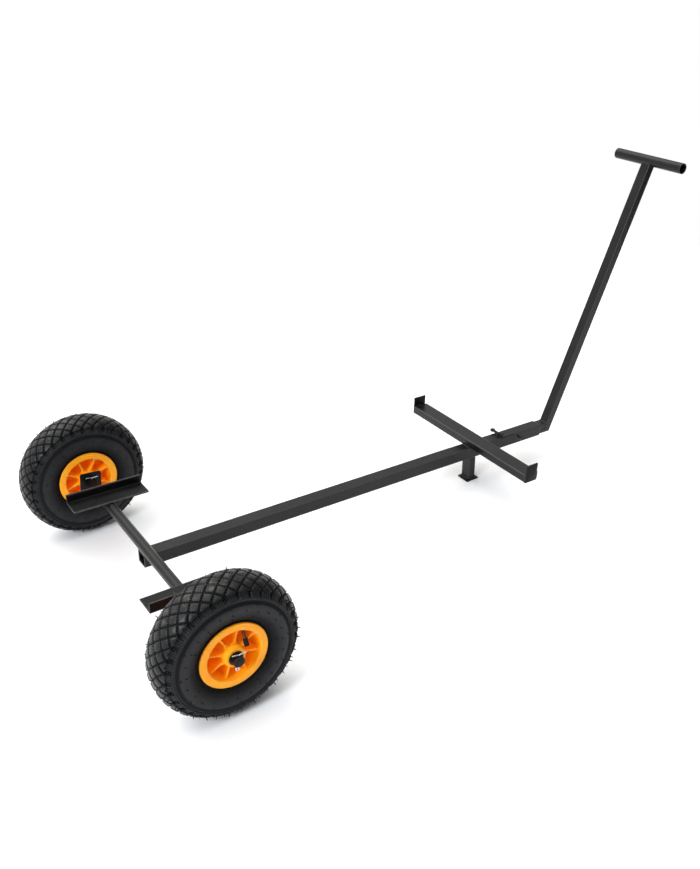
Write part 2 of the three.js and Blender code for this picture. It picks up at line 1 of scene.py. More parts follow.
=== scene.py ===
# %% [markdown]
# # A two-wheeled pull dolly, built round its CAD frame
#
# The dolly is a long square beam on two pneumatic wheels. A cross channel near the front and two short
# cradles over the axle carry the load, and a leaning T-bar slides in the front end of the beam.
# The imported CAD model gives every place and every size. What this file adds is the look: rolled
# corners on the tubes, weld beads, a moulded tread, ribbed plastic rims, and paint, rubber and zinc.

# %% Load the frame
import json
import math

import bmesh
import bpy
import numpy as np
from mathutils import Matrix, Vector

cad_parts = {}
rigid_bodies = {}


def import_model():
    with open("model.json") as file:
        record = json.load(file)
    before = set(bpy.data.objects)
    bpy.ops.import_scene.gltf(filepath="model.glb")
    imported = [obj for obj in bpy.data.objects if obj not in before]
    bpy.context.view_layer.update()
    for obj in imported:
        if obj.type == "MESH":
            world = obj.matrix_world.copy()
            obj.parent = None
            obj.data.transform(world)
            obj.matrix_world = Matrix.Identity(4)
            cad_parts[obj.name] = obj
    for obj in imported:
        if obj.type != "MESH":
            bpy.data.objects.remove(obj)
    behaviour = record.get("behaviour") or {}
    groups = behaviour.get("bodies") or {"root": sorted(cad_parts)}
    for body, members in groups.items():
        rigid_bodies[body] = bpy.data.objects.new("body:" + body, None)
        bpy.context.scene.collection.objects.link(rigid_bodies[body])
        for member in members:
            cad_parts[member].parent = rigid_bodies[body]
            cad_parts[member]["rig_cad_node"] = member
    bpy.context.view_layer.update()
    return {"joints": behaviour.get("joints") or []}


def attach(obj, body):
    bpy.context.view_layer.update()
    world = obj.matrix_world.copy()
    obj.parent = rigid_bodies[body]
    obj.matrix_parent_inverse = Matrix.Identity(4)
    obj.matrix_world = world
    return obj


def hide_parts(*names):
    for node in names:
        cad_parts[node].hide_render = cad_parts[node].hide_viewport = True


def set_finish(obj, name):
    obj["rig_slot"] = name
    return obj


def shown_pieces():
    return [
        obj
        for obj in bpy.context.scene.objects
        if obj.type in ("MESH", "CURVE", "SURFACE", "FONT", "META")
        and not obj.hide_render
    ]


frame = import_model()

# %% [markdown]
# ## The camera comes first
#
# A camera that is set before anything else is built keeps every later choice honest, because each piece
# is judged from where it will be seen. Blender's camera looks down its own -Z, so its matrix is made of
# three directions: right, up, and back. The lens and the spot were worked out from the known sizes of
# the wheels and the beam.

# %% Camera
HEADING, PITCH, ROLL = (math.radians(a) for a in (56.34, 29.372, -0.712))
LENS_MM = 39.367
SPOT = Vector((-1.05323, -1.40802, 1.17111))


def camera_matrix(spot, heading, pitch, roll):
    """A camera's place and directions from its heading, its tilt down and its roll."""
    flat = math.cos(pitch)
    ahead = Vector((flat * math.cos(heading), flat * math.sin(heading), -math.sin(pitch)))
    right = Vector((math.sin(heading), -math.cos(heading), 0))
    up = right.cross(ahead)
    rolled_right = math.cos(roll) * right + math.sin(roll) * up
    rolled_up = math.cos(roll) * up - math.sin(roll) * right
    turn = Matrix((rolled_right, rolled_up, -ahead)).transposed().to_4x4()
    return Matrix.Translation(spot) @ turn


lens = bpy.data.cameras.new("studio_camera")
lens.lens = LENS_MM
lens.sensor_width = 36
lens.clip_start, lens.clip_end = 0.01, 60
camera = bpy.data.objects.new("studio_camera", lens)
bpy.context.scene.collection.objects.link(camera)
camera.matrix_world = camera_matrix(SPOT, HEADING, PITCH, ROLL)
bpy.context.scene.camera = camera
print("camera at", [round(c, 3) for c in camera.location])

# %% [markdown]
# ## Places that every piece shares
#
# All the steel leans forward a little, because the wheels hold the back of the beam higher than the leg
# holds the front. The slide joint of the drawbar runs along the beam, so its axis says how much, and the
# spin joints say where the axle is. Everything below is drawn in millimetres from the axle, with the
# beam level, and one matrix puts it in the row frame.

# %% Steel frame and wheel frames
MM = 0.001
joints = {j["name"]: j for j in frame["joints"]}
axle = Vector(joints["wheel_left_spin"]["pos_m"])
wheel_y = axle.y / MM
axle.y = 0
beam_way = Vector(joints["drawbar_slide"]["axis"]).normalized()
beam_up = beam_way.cross(Vector((0, 1, 0)))
metres = Matrix.Scale(MM, 4)
level = Matrix.Translation(axle) @ metres
steel = Matrix.Translation(axle) @ Matrix((beam_way, (0, 1, 0), beam_up)).transposed().to_4x4() @ metres


def wheel_place(side):
    """Wheel-local millimetres to the row frame: +Y is the outer face, for both wheels."""
    turn = Matrix.Identity(4) if side > 0 else Matrix.Rotation(math.pi, 4, "Z")
    return Matrix.Translation((axle.x, side * wheel_y * MM, axle.z)) @ turn @ metres


SIDES = {"left": 1, "right": -1}
print("nose down by", round(math.degrees(math.asin(-beam_way.z)), 2), "degrees")

# %% [markdown]
# ## Swept tubes and plates
#
# Nearly every steel piece is one outline pushed along a line: box tube, round tube, angle iron, plate.
# A cube with a bevel modifier would be quicker, but a sweep made in mesh code gives three things at once:
# rolled corners that shine as real ones do, softened sawn ends, and an `edge` attribute that tells the
# paint where the corners are. A sheared or saddle-shaped end needs no boolean either, because each
# corner of the outline may start and stop at its own distance.

# %% Outlines
def box_outline(width, height, corner, steps=5, margin=0.7):
    """Points (y, z, edge) anticlockwise round a rectangle with rolled corners. edge peaks on a corner."""
    points = []
    for quarter, (sy, sz) in enumerate([(1, 1), (-1, 1), (-1, -1), (1, -1)]):
        cy, cz = sy * (width / 2 - corner), sz * (height / 2 - corner)
        arc = []
        for i in range(steps + 1):
            a = (quarter + i / steps) * math.pi / 2
            arc.append((cy + corner * math.cos(a), cz + corner * math.sin(a), math.sin(math.pi * i / steps)))

        def beside(point, quarters):
            a = quarters * math.pi / 2
            return (point[0] + margin * math.cos(a), point[1] + margin * math.sin(a), 0.0)

        points += [beside(arc[0], quarter - 1), *arc, beside(arc[-1], quarter + 2)]
    return points


def round_outline(radius, count, edge=0.0):
    """Points (y, z, edge) round a circle."""
    turns = (2 * math.pi * i / count for i in range(count))
    return [(radius * math.cos(a), radius * math.sin(a), edge) for a in turns]


def inset(points, by):
    """The outline pushed in by a distance, along the mean normal of each corner."""
    flat = np.array([p[:2] for p in points])
    ahead, behind = np.roll(flat, -1, 0) - flat, flat - np.roll(flat, 1, 0)
    normals = []
    for d in (ahead, behind):
        length = np.maximum(np.linalg.norm(d, axis=1), 1e-9)[:, None]
        normals.append(np.stack([-d[:, 1], d[:, 0]], 1) / length)
    mean = normals[0] + normals[1]
    mean /= np.maximum((mean * normals[0]).sum(1), 0.3)[:, None]
    return [(*(xy + by * m), p[2]) for xy, m, p in zip(flat, mean, points)]


print("a box outline has", len(box_outline(30, 30, 3)), "points")

# %% [markdown]
# A sweep lays rings of points and joins neighbours with four-sided faces. With an inner outline the
# result is a tube, whose walls meet at the ends; without one, the ends are closed by a single face.

# %% Sweeps
SOFT_END = ((0.0, 0.45), (0.14, 0.14), (0.45, 0.0), (2.0, 0.0))
EDGE_REACH = 0.6
SHARP_ANGLE = 38


def mesh_object(name, points, faces, edge=None, smooth_angle=SHARP_ANGLE):
    """A mesh object from points in metres. Faces that meet at more than smooth_angle stay sharp."""
    mesh = bpy.data.meshes.new(name)
    mesh.from_pydata([tuple(p) for p in points], [], faces)
    mesh.polygons.foreach_set("use_smooth", [True] * len(mesh.polygons))
    mesh.set_sharp_from_angle(angle=math.radians(smooth_angle))
    if edge is not None:
        mesh.attributes.new("edge", "FLOAT", "POINT").data.foreach_set("value", np.asarray(edge, np.float32))
    mesh.validate()
    made = bpy.data.objects.new(name, mesh)
    bpy.context.scene.collection.objects.link(made)
    return made


def placed(points, matrix):
    """Rows of x, y, z through a matrix."""
    a = np.array(matrix)
    return np.asarray(points, float) @ a[:3, :3].T + a[:3, 3]


def sweep(name, outer, start, stop, place, inner=None, soft=SOFT_END):
    """Pushes an outline along +X. start and stop are numbers, or give one for each (y, z).
    soft lists the rings at each end, as (distance from the end, how far the outline is pushed in)."""
    first = start if callable(start) else lambda y, z: start
    last = stop if callable(stop) else lambda y, z: stop
    points, edges, faces, rings = [], [], [], []

    def lay_ring(outline, by, distance, from_start, way):
        ring = []
        for (y, z, e), (y1, z1, _) in zip(outline, inset(outline, by * way)):
            x = first(y, z) + distance if from_start else last(y, z) - distance
            ring.append(len(points))
            points.append((x, y1, z1))
            edges.append(0.0 if distance == 0 else max(e, 1.0 if distance < EDGE_REACH else 0.0))
        rings.append(ring)

    def lay_wall(outline, way):
        for distance, by in soft:
            lay_ring(outline, by, distance, True, way)
        for distance, by in reversed(soft):
            lay_ring(outline, by, distance, False, way)

    def join(a, b):
        n = len(a)
        for i in range(n):
            faces.append((a[i], a[(i + 1) % n], b[(i + 1) % n], b[i]))

    lay_wall(outer, 1)
    count = len(rings)
    for a, b in zip(rings, rings[1:]):
        join(a, b)
    if inner is None:
        faces.append(tuple(reversed(rings[0])))
        faces.append(tuple(rings[count - 1]))
    else:
        lay_wall(inner, -1)
        for a, b in zip(rings[count:], rings[count + 1:]):
            join(b, a)
        join(rings[count], rings[0])
        join(rings[count - 1], rings[-1])
    made = mesh_object(name, placed(points, place), faces, edges)
    turn_out(made)
    return made


def turn_out(made, smooth_angle=SHARP_ANGLE):
    """Turns the faces of a closed mesh outwards."""
    work = bmesh.new()
    work.from_mesh(made.data)
    bmesh.ops.recalc_face_normals(work, faces=work.faces)
    work.to_mesh(made.data)
    work.free()
    made.data.set_sharp_from_angle(angle=math.radians(smooth_angle))


def axes(origin, along, across):
    """A frame whose +X runs along one direction and whose +Y runs across it."""
    x = Vector(along).normalized()
    z = x.cross(Vector(across)).normalized()
    y = z.cross(x)
    return Matrix.Translation(Vector(origin)) @ Matrix((x, y, z)).transposed().to_4x4()


# %% [markdown]
# ## Wires and weld beads
#
# A split pin, a bent rod, a valve stem and a weld bead are all a round section that follows a path. A
# curve object with bevel depth would do for the wires, but not for a weld, whose thickness ripples where
# the torch paused. One function takes a radius for each point, so it makes both. The section is carried
# along without twisting, by turning the last frame just enough to meet the next direction.

# %% Wires
ROUNDED_END = ((0.35, 0.94), (0.75, 0.66), (0.95, 0.3))
RING_BEAD_STEP = 0.55


def smooth_path(points, spacing):
    """A Catmull-Rom line through points, sampled about every spacing."""
    p = [Vector(q) for q in points]
    p = [2 * p[0] - p[1], *p, 2 * p[-1] - p[-2]]
    line = []
    for a, b, c, d in zip(p, p[1:], p[2:], p[3:]):
        count = max(2, round((c - b).length / spacing))
        for i in range(count):
            t = i / count
            line.append(0.5 * (2 * b + (c - a) * t + (2 * a - 5 * b + 4 * c - d) * t * t
                               + (3 * b - a - 3 * c + d) * t ** 3))
    line.append(p[-2])
    return line


def wire_mesh(line, radii, sides, closed=False):
    """Points and faces of a round section along a line, its ends rounded off."""
    n = len(line)
    points, faces = [], []

    def neighbours(i):
        if closed:
            return line[i - 1], line[(i + 1) % n]
        return line[max(i - 1, 0)], line[min(i + 1, n - 1)]

    tangent = [(after - before).normalized() for before, after in map(neighbours, range(n))]
    side = tangent[0].orthogonal().normalized()
    stations = []
    for i in range(n):
        side = (side - side.dot(tangent[i]) * tangent[i]).normalized()
        stations.append((line[i], radii[i], side, tangent[i]))
    if not closed:
        def cap(station, sign, rings):
            centre, radius, side, way = station
            return [(centre + sign * radius * d * way, radius * s, side, way) for d, s in rings]

        stations = [*cap(stations[0], -1, ROUNDED_END[::-1]), *stations, *cap(stations[-1], 1, ROUNDED_END)]
    for centre, radius, side, way in stations:
        other = way.cross(side)
        for k in range(sides):
            a = 2 * math.pi * k / sides
            points.append(centre + radius * (math.cos(a) * side + math.sin(a) * other))
    rows = len(stations)
    for i in range(rows if closed else rows - 1):
        j = (i + 1) % rows
        for k in range(sides):
            m = (k + 1) % sides
            faces.append((i * sides + k, i * sides + m, j * sides + m, j * sides + k))
    if not closed:
        faces.append(tuple(reversed(range(sides))))
        faces.append(tuple((rows - 1) * sides + k for k in range(sides)))
    return points, faces


# Every point of a gathered wire or bead carries this edge number, so the paint's painted edge highlight
# lightens the whole of it a little.
GATHERED_EDGE = 0.4


def gathered(name, parts, place, smooth_angle=60):
    """One object from several closed shells, each a pair of points and faces."""
    points, faces = [], []
    for some_points, some_faces in parts:
        start = len(points)
        points += [tuple(p) for p in some_points]
        faces += [tuple(start + i for i in f) for f in some_faces]
    made = mesh_object(name, placed(points, place), faces, [GATHERED_EDGE] * len(points))
    turn_out(made, smooth_angle)
    return made


def bead(start, stop, thickness, seed, pitch=2.1):
    """A weld bead along a straight corner: a ripple for each pause of the torch."""
    draw = np.random.default_rng(seed)
    a, b = Vector(start), Vector(stop)
    count = max(6, round((b - a).length / 0.5))
    wander = draw.normal(0, 0.09, count + 1)
    line, radii = [], []
    for i in range(count + 1):
        s = i / count
        ripple = abs(math.sin(math.pi * s * (b - a).length / pitch))
        line.append(a.lerp(b, s) + Vector((0, 0, wander[i])))
        radii.append(thickness * (0.82 + 0.2 * ripple) * (0.72 + 0.28 * min(1, 8 * s, 8 * (1 - s))))
    return wire_mesh(line, radii, 10)


def ring_bead(centre, along, radius, thickness, seed, pitch=2.1):
    """A weld bead round a tube."""
    draw = np.random.default_rng(seed)
    way = Vector(along).normalized()
    side = way.orthogonal().normalized()
    other = way.cross(side)
    count = round(2 * math.pi * radius / RING_BEAD_STEP)
    line, radii = [], []
    for i in range(count):
        a = 2 * math.pi * i / count
        line.append(Vector(centre) + radius * (math.cos(a) * side + math.sin(a) * other))
        ripple = abs(math.sin(math.pi * i * RING_BEAD_STEP / pitch))
        radii.append(thickness * (0.84 + 0.2 * ripple) + draw.normal(0, 0.03))
    return wire_mesh(line, radii, 10, closed=True)


# %% [markdown]
# ## Cutting holes
#
# Only a few holes can't come from a sweep: the tooth hole in the beam, the long slot in the sliding
# insert, and the cross holes for the split pins. A boolean modifier cuts them, and it is applied at once,
# so that the piece is an ordinary mesh from then on.

# %% Boolean cuts
def apply_modifiers(made):
    """Replaces a piece's mesh by what its modifiers make."""
    bpy.context.view_layer.update()
    result = bpy.data.meshes.new_from_object(made.evaluated_get(bpy.context.evaluated_depsgraph_get()))
    made.modifiers.clear()
    made.data = result


def combined(made, tools, operation="DIFFERENCE", smooth_angle=SHARP_ANGLE):
    """made with each tool cut out of it or joined to it. The tools are removed."""
    for tool in tools:
        step = made.modifiers.new("cut", "BOOLEAN")
        step.object, step.operation, step.solver = tool, operation, "EXACT"
    apply_modifiers(made)
    for tool in tools:
        bpy.data.objects.remove(tool)
    made.data.polygons.foreach_set("use_smooth", [True] * len(made.data.polygons))
    made.data.set_sharp_from_angle(angle=math.radians(smooth_angle))
    return made


def rod_tool(start, stop, radius, place, sides=40):
    """A plain round tool for cutting."""
    way = Vector(stop) - Vector(start)
    along = place @ axes(start, way, way.orthogonal())
    return sweep("tool", round_outline(radius, sides), 0, way.length, along, soft=((0, 0),))


def finished(made, body, finish, *nodes):
    """Puts a piece on its body, says which finish and which CAD nodes it stands for, and prints its size."""
    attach(made, body)
    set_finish(made, finish)
    if nodes:
        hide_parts(*nodes)
    print(f"{made.name}: {len(made.data.polygons)} faces on {body}")
    return made


# %% [markdown]
# ## The beam
#
# A length of cold-formed box tube carries everything. Its corners are rolled, not sharp, and that is
# where the paint catches the light as one long thin line, so the corner radius matters more to the look
# than anything else about it. The right wall has one hole for the tooth of the latch.

# %% Beam
BEAM_WIDTH, BEAM_HEIGHT, BEAM_WALL = 29, 27, 2
BEAM_REAR, BEAM_FRONT = -7, 998
WELD_GAP = 0.3
BEAM_TOP = -10.8
BEAM_BOTTOM = BEAM_TOP - BEAM_HEIGHT
BEAM_MIDDLE = (BEAM_TOP + BEAM_BOTTOM) / 2
TUBE_CORNER = 2.5
TOOTH_X, TOOTH_HOLE = 931, 3.5


def tube_inside(width, height, wall, corner=0.8, margin=0.9):
    """The outline of the hollow in a box tube."""
    return box_outline(width - 2 * wall, height - 2 * wall, corner, margin=margin)


def tooth_tool(x, half_width):
    """The tool that cuts the tooth's hole through the right wall of a tube."""
    return rod_tool((x, -half_width - 2, BEAM_MIDDLE), (x, -half_width + 3, BEAM_MIDDLE), TOOTH_HOLE, steel)


beam = sweep(
    "beam",
    box_outline(BEAM_WIDTH, BEAM_HEIGHT, TUBE_CORNER),
    BEAM_REAR,
    BEAM_FRONT,
    steel @ Matrix.Translation((0, 0, BEAM_MIDDLE)),
    inner=tube_inside(BEAM_WIDTH, BEAM_HEIGHT, BEAM_WALL),
)
combined(beam, [tooth_tool(TOOTH_X, BEAM_WIDTH / 2)])
finished(beam, "frame", "black_steel", "main_beam")

# %% [markdown]
# ## Axle, cradles and washers
#
# The axle is a round tube across the top of the beam, with a solid shaft in each end for a wheel. Each
# cradle is a piece of angle iron with its upright on the outside: rolled angle has a generous fillet in
# its inside corner and softened toes, so its outline is drawn with them. The square washers are loose,
# so each has turned a few degrees.

# %% Axle
TUBE_RADIUS, TUBE_HALF, TUBE_WALL, SHAFT_RADIUS, SHAFT_END = 10.5, 203, 2.6, 10, 373.5
PIN_TURN, PIN_HOLE = math.radians(9), 2.1
ROUND_SIDES = 72
PIN_OUT, PIN_IN = 369, 268.9
WASHER_IN, WASHER_THICK, WASHER_SIDE = 272.7, 3, 44

axle_tube = sweep(
    "axle_cross_tube",
    round_outline(TUBE_RADIUS, ROUND_SIDES),
    -TUBE_HALF,
    TUBE_HALF,
    steel @ axes((0, 0, 0), (0, 1, 0), (1, 0, 0)),
    inner=round_outline(TUBE_RADIUS - TUBE_WALL, ROUND_SIDES),
)
finished(axle_tube, "frame", "black_steel", "axle_tube")

for word, side in SIDES.items():
    shaft = sweep(
        "wheel_shaft_" + word,
        round_outline(SHAFT_RADIUS, ROUND_SIDES),
        TUBE_HALF + WELD_GAP,
        SHAFT_END,
        steel @ axes((0, 0, 0), (0, side, 0), (1, 0, 0)),
        soft=((0, 1.1), (0.25, 0.55), (1.0, 0), (2.0, 0)),
    )
    turn = steel @ Matrix.Rotation(PIN_TURN, 4, "Y")
    holes = [rod_tool((0, side * y, -14), (0, side * y, 14), PIN_HOLE, turn, 20) for y in (PIN_OUT, PIN_IN)]
    combined(shaft, holes)
    finished(shaft, "frame", "black_steel", "axle_shaft_" + word)

# %% Cradles
CRADLE_REAR, CRADLE_LENGTH, CRADLE_INNER, CRADLE_OUTER = -75, 154, 157, 201
CRADLE_HEIGHT, ANGLE_THICK = 20.5, 3
CRADLE_FLOOR = TUBE_RADIUS + WELD_GAP


def arc(cy, cz, radius, start, stop, steps, edge):
    """Points along part of a circle, in degrees."""
    angles = [math.radians(start + (stop - start) * i / steps) for i in range(steps + 1)]
    return [(cy + radius * math.cos(a), cz + radius * math.sin(a), edge) for a in angles]


def angle_outline():
    """Rolled angle, drawn anticlockwise: a floor, an upright, a fillet inside and softened toes."""
    w, h, t = CRADLE_OUTER - CRADLE_INNER, CRADLE_HEIGHT, ANGLE_THICK
    return [
        *arc(0.5, 0.5, 0.5, 180, 270, 3, 1),
        (2, 0, 0),
        (w - 3, 0, 0),
        *arc(w - 0.8, 0.8, 0.8, 270, 360, 4, 1),
        (w, 2.6, 0),
        (w, h - 2, 0),
        *arc(w - 0.5, h - 0.5, 0.5, 0, 90, 3, 1),
        *arc(w - t + 1.3, h - 1.3, 1.3, 90, 180, 4, 1),
        (w - t, h - 3, 0),
        *arc(w - t - 3, t + 3, 3, 0, -90, 6, 0),
        (3, t, 0),
        *arc(1.3, t - 1.3, 1.3, 90, 180, 4, 1),
    ]


for word, side in SIDES.items():
    place = steel @ Matrix.Scale(side, 4, (0, 1, 0)) @ Matrix.Translation((0, CRADLE_INNER, CRADLE_FLOOR))
    cradle = sweep(
        "cradle_angle_" + word,
        angle_outline(),
        CRADLE_REAR,
        CRADLE_REAR + CRADLE_LENGTH,
        place,
        soft=((0, 0.3), (0.3, 0), (2, 0)),
    )
    finished(cradle, "frame", "black_steel", "cradle_" + word)

# %% Square washers
WASHER_TURN = math.radians(3.8)


def square_and_hole(side, corner, hole, per_side=12):
    """A square with rolled corners and a round hole, with as many points in each."""
    count = 4 * per_side
    outer, inner = [], []
    for i in range(count):
        a = 2 * math.pi * (i + 0.5) / count
        c, s = math.cos(a), math.sin(a)
        reach = (side / 2) / max(abs(c), abs(s))
        y, z = reach * c, reach * s
        over_y, over_z = abs(y) - (side / 2 - corner), abs(z) - (side / 2 - corner)
        if over_y > 0 and over_z > 0:
            long = math.hypot(over_y, over_z)
            y = math.copysign(side / 2 - corner + over_y * corner / long, y)
            z = math.copysign(side / 2 - corner + over_z * corner / long, z)
        outer.append((y, z, 0.8))
        inner.append((hole * c, hole * s, 0.4))
    return outer, inner


for word, side in SIDES.items():
    outer, inner = square_and_hole(WASHER_SIDE, 1.2, SHAFT_RADIUS + 0.6)
    on_shaft = axes((0, side * WASHER_IN, 0), (0, side, 0), (1, 0, 0))
    place = steel @ Matrix.Rotation(WASHER_TURN, 4, "Y") @ on_shaft
    soft = ((0, 0.35), (0.35, 0), (1, 0))
    washer = sweep("washer_plate_" + word, outer, 0, WASHER_THICK, place, inner=inner, soft=soft)
    finished(washer, "frame", "black_steel", "square_washer_" + word)

# %% [markdown]
# ## Split pins
#
# A split pin is one half-round wire folded over an eye, so that its two legs make a round shank. Once it
# is through its hole, the legs are bent apart. Here the fold is followed as one path for each pin: up
# one leg from its bent end, round the eye and back along the other leg, with the legs flattened against
# each other by keeping them a little apart.

# %% Split pins
PIN_EYE, PIN_WIRE, PIN_REACH = 2.9, 1.0, 12
EYE_DROP = SHAFT_RADIUS + PIN_EYE + 2.6


def split_pin(name, y, place):
    """One folded wire, its eye below and its legs spread on top."""
    top = SHAFT_RADIUS + 1.9
    apart = 0.62
    left = [(-PIN_REACH, y, top), (-5, y, top + 0.1), (-1.9, y, top - 0.1), (-apart, y, SHAFT_RADIUS - 0.8)]
    right = [(apart, y, SHAFT_RADIUS - 0.8), (1.9, y, top), (5, y, top + 0.8), (PIN_REACH, y, top + 2.6)]
    low = -EYE_DROP
    eye = [(-apart, y, low + PIN_EYE + 1.6)]
    for k in range(9):
        a = math.radians(118 + 304 * k / 8)
        eye.append((PIN_EYE * math.cos(a), y, low + PIN_EYE * math.sin(a)))
    eye.append((apart, y, low + PIN_EYE + 1.6))
    line = smooth_path([*left, *eye, *right], 0.8)
    return gathered(name, [wire_mesh(line, [PIN_WIRE] * len(line), 12)], place)


for word, side in SIDES.items():
    for where, y in (("outer", PIN_OUT), ("inner", PIN_IN)):
        pin = split_pin(f"cotter_{where}_{word}", side * y, steel @ Matrix.Rotation(PIN_TURN, 4, "Y"))
        finished(pin, "frame", "zinc", f"split_pin_{where}_{word}")

# %% [markdown]
# ## Cross channel, end plates, leg and foot
#
# The cross channel lies on the beam and carries the front of the load. Each end is closed by a plate
# that stands up as a stop. Flat plates are cut with a guillotine, so their corners are nearly sharp, and
# only the paint rounds them.

# %% Cross channel and its stops
CHANNEL_REAR, CHANNEL_DEPTH, CHANNEL_HEIGHT, CHANNEL_LENGTH = 777.5, 37.5, 18.5, 383
STOP_WIDTH, STOP_HEIGHT, STOP_THICK = 32, 40.5, 3
CHANNEL_FLOOR, CHANNEL_WALL = BEAM_TOP + WELD_GAP, 2
PLATE_CORNER = 1.0

channel_root = (CHANNEL_REAR + CHANNEL_DEPTH / 2, -CHANNEL_LENGTH / 2, CHANNEL_FLOOR + CHANNEL_HEIGHT / 2)
channel = sweep(
    "cross_bar",
    box_outline(CHANNEL_DEPTH, CHANNEL_HEIGHT, TUBE_CORNER),
    0,
    CHANNEL_LENGTH,
    steel @ axes(channel_root, (0, 1, 0), (-1, 0, 0)),
    inner=tube_inside(CHANNEL_DEPTH, CHANNEL_HEIGHT, CHANNEL_WALL),
)
finished(channel, "frame", "black_steel", "cross_channel")


def flat_plate(name, width, height, thick, place):
    """A plate whose face lies in its own Y and Z, with softened edges all round."""
    soft = ((0, 0.35), (0.1, 0.1), (0.35, 0), (0.9, 0))
    return sweep(name, box_outline(width, height, PLATE_CORNER, 4, 1.2), 0, thick, place, soft=soft)


for word, side in SIDES.items():
    stop_y = side * (CHANNEL_LENGTH / 2 + WELD_GAP)
    middle = (CHANNEL_REAR + STOP_WIDTH / 2, stop_y, CHANNEL_FLOOR + STOP_HEIGHT / 2)
    place = steel @ axes(middle, (0, side, 0), (-side, 0, 0))
    stop = flat_plate("end_stop_" + word, STOP_WIDTH, STOP_HEIGHT, STOP_THICK, place)
    finished(stop, "frame", "black_steel", "cross_plate_" + word)

# %% Leg and foot
LEG_MIDDLE, LEG_DEPTH, LEG_WIDTH, LEG_WALL = 789, 19, 25, 2
FOOT_SIDE, FOOT_THICK = 33, 3
wheel_radius = axle.z / MM
leg_low = -wheel_radius + FOOT_THICK + WELD_GAP
leg_place = level @ axes((LEG_MIDDLE, 0, leg_low), (0, 0, 1), (0, 1, 0))
slope = beam_way.z / beam_way.x
under_beam = (BEAM_BOTTOM - WELD_GAP) / beam_way.x


def leg_top(y, z):
    """The height at which the leg meets the sloping underside of the beam, from its own foot."""
    forward = LEG_MIDDLE - z
    return under_beam + slope * forward - leg_low


leg = sweep(
    "prop_leg",
    box_outline(LEG_WIDTH, LEG_DEPTH, 2),
    0,
    leg_top,
    leg_place,
    inner=tube_inside(LEG_WIDTH, LEG_DEPTH, LEG_WALL, 0.7),
)
finished(leg, "frame", "black_steel", "support_leg")
foot_place = level @ axes((LEG_MIDDLE, 0, -wheel_radius), (0, 0, 1), (0, 1, 0))
foot = flat_plate("prop_foot", FOOT_SIDE, FOOT_SIDE, FOOT_THICK, foot_place)
finished(foot, "frame", "black_steel", "foot_plate")

# %% [markdown]
# ## The sliding drawbar
#
# A smaller box tube slides in the front of the beam. The leaning post is welded to its end in a mitre,
# and a round grip crosses the top in a saddle cut. Both cuts are just a start or an end that depends on
# where in the outline a point lies.

# %% Insert, post and grip
SLIDE_GAP = 0.2
INSERT_REAR, TRAVEL = 780, 120
POST_FOOT, POST_LEAN, POST_LENGTH = 1012.4, math.radians(69.7), 659
POST_WIDTH, POST_DEPTH, POST_WALL = 24, 18.5, 1.8
GRIP_RADIUS, GRIP_LENGTH, GRIP_WALL = 11.5, 184, 2
insert_width = BEAM_WIDTH - 2 * (BEAM_WALL + SLIDE_GAP)
insert_height = BEAM_HEIGHT - 2 * (BEAM_WALL + SLIDE_GAP)
insert_bottom = BEAM_MIDDLE - insert_height / 2


def insert_front(y, z):
    """Where the insert meets the rear face of the leaning post."""
    rise = z + insert_height / 2
    return POST_FOOT + rise / math.tan(POST_LEAN) - WELD_GAP / math.sin(POST_LEAN)


insert = sweep(
    "sliding_insert",
    box_outline(insert_width, insert_height, 1.4, 4),
    INSERT_REAR,
    insert_front,
    steel @ Matrix.Translation((0, 0, BEAM_MIDDLE)),
    inner=box_outline(insert_width - 4, insert_height - 4, 0.6, 4, 0.8),
)
slot_tools = [tooth_tool(x, insert_width / 2) for x in (TOOTH_X - TRAVEL, TOOTH_X)]
slot_tools.append(sweep(
    "tool", box_outline(5, 2 * TOOTH_HOLE, 0.01, 1, 0.1), TOOTH_X - TRAVEL, TOOTH_X,
    steel @ Matrix.Translation((0, -insert_width / 2 + 0.5, BEAM_MIDDLE)), soft=((0, 0),),
))
combined(insert, slot_tools)
finished(insert, "drawbar", "black_steel", "drawbar_insert")

post_way = Vector((math.cos(POST_LEAN), 0, math.sin(POST_LEAN)))
post_root = Vector((POST_FOOT + POST_DEPTH / 2 * post_way.z, 0, insert_bottom - POST_DEPTH / 2 * post_way.x))
post_place = steel @ axes(post_root, post_way, (0, 1, 0))
grip_centre = post_root + POST_LENGTH * post_way


def post_start(y, z):
    """The post's foot is cut level with the underside of the insert."""
    return (POST_DEPTH / 2 - z) / math.tan(POST_LEAN)


def post_saddle(y, z):
    """The post's top is cut to sit round the grip."""
    return POST_LENGTH - math.sqrt((GRIP_RADIUS + WELD_GAP) ** 2 - z * z)


post = sweep(
    "leaning_post",
    box_outline(POST_WIDTH, POST_DEPTH, 2),
    post_start,
    post_saddle,
    post_place,
    inner=tube_inside(POST_WIDTH, POST_DEPTH, POST_WALL, 0.7),
)
finished(post, "drawbar", "black_steel", "handle_post")

grip = sweep(
    "grip_bar",
    round_outline(GRIP_RADIUS, ROUND_SIDES),
    -GRIP_LENGTH / 2,
    GRIP_LENGTH / 2,
    steel @ axes(grip_centre, (0, 1, 0), (1, 0, 0)),
    inner=round_outline(GRIP_RADIUS - GRIP_WALL, ROUND_SIDES),
)
finished(grip, "drawbar", "black_steel", "grip_tube")

# %% [markdown]
# ## The latch
#
# The latch is one bent rod. It passes through a short guide tube on top of the beam, turns forward along
# the right wall, and its end turns in again as a tooth that drops through the beam into the slot of the
# insert. The other end is flattened into an eye for a finger or a cord.

# %% Latch
LATCH_X, LATCH_ROD, GUIDE_RADIUS, GUIDE_BORE, GUIDE_LENGTH = 877, 3.2, 4.6, 3.35, 12
SIDE_GAP, TOOTH_DEPTH, EYE_RADIUS, EYE_THICK = 6.5, 8, 3.4, 5.2
latch_z = BEAM_TOP + WELD_GAP + GUIDE_RADIUS

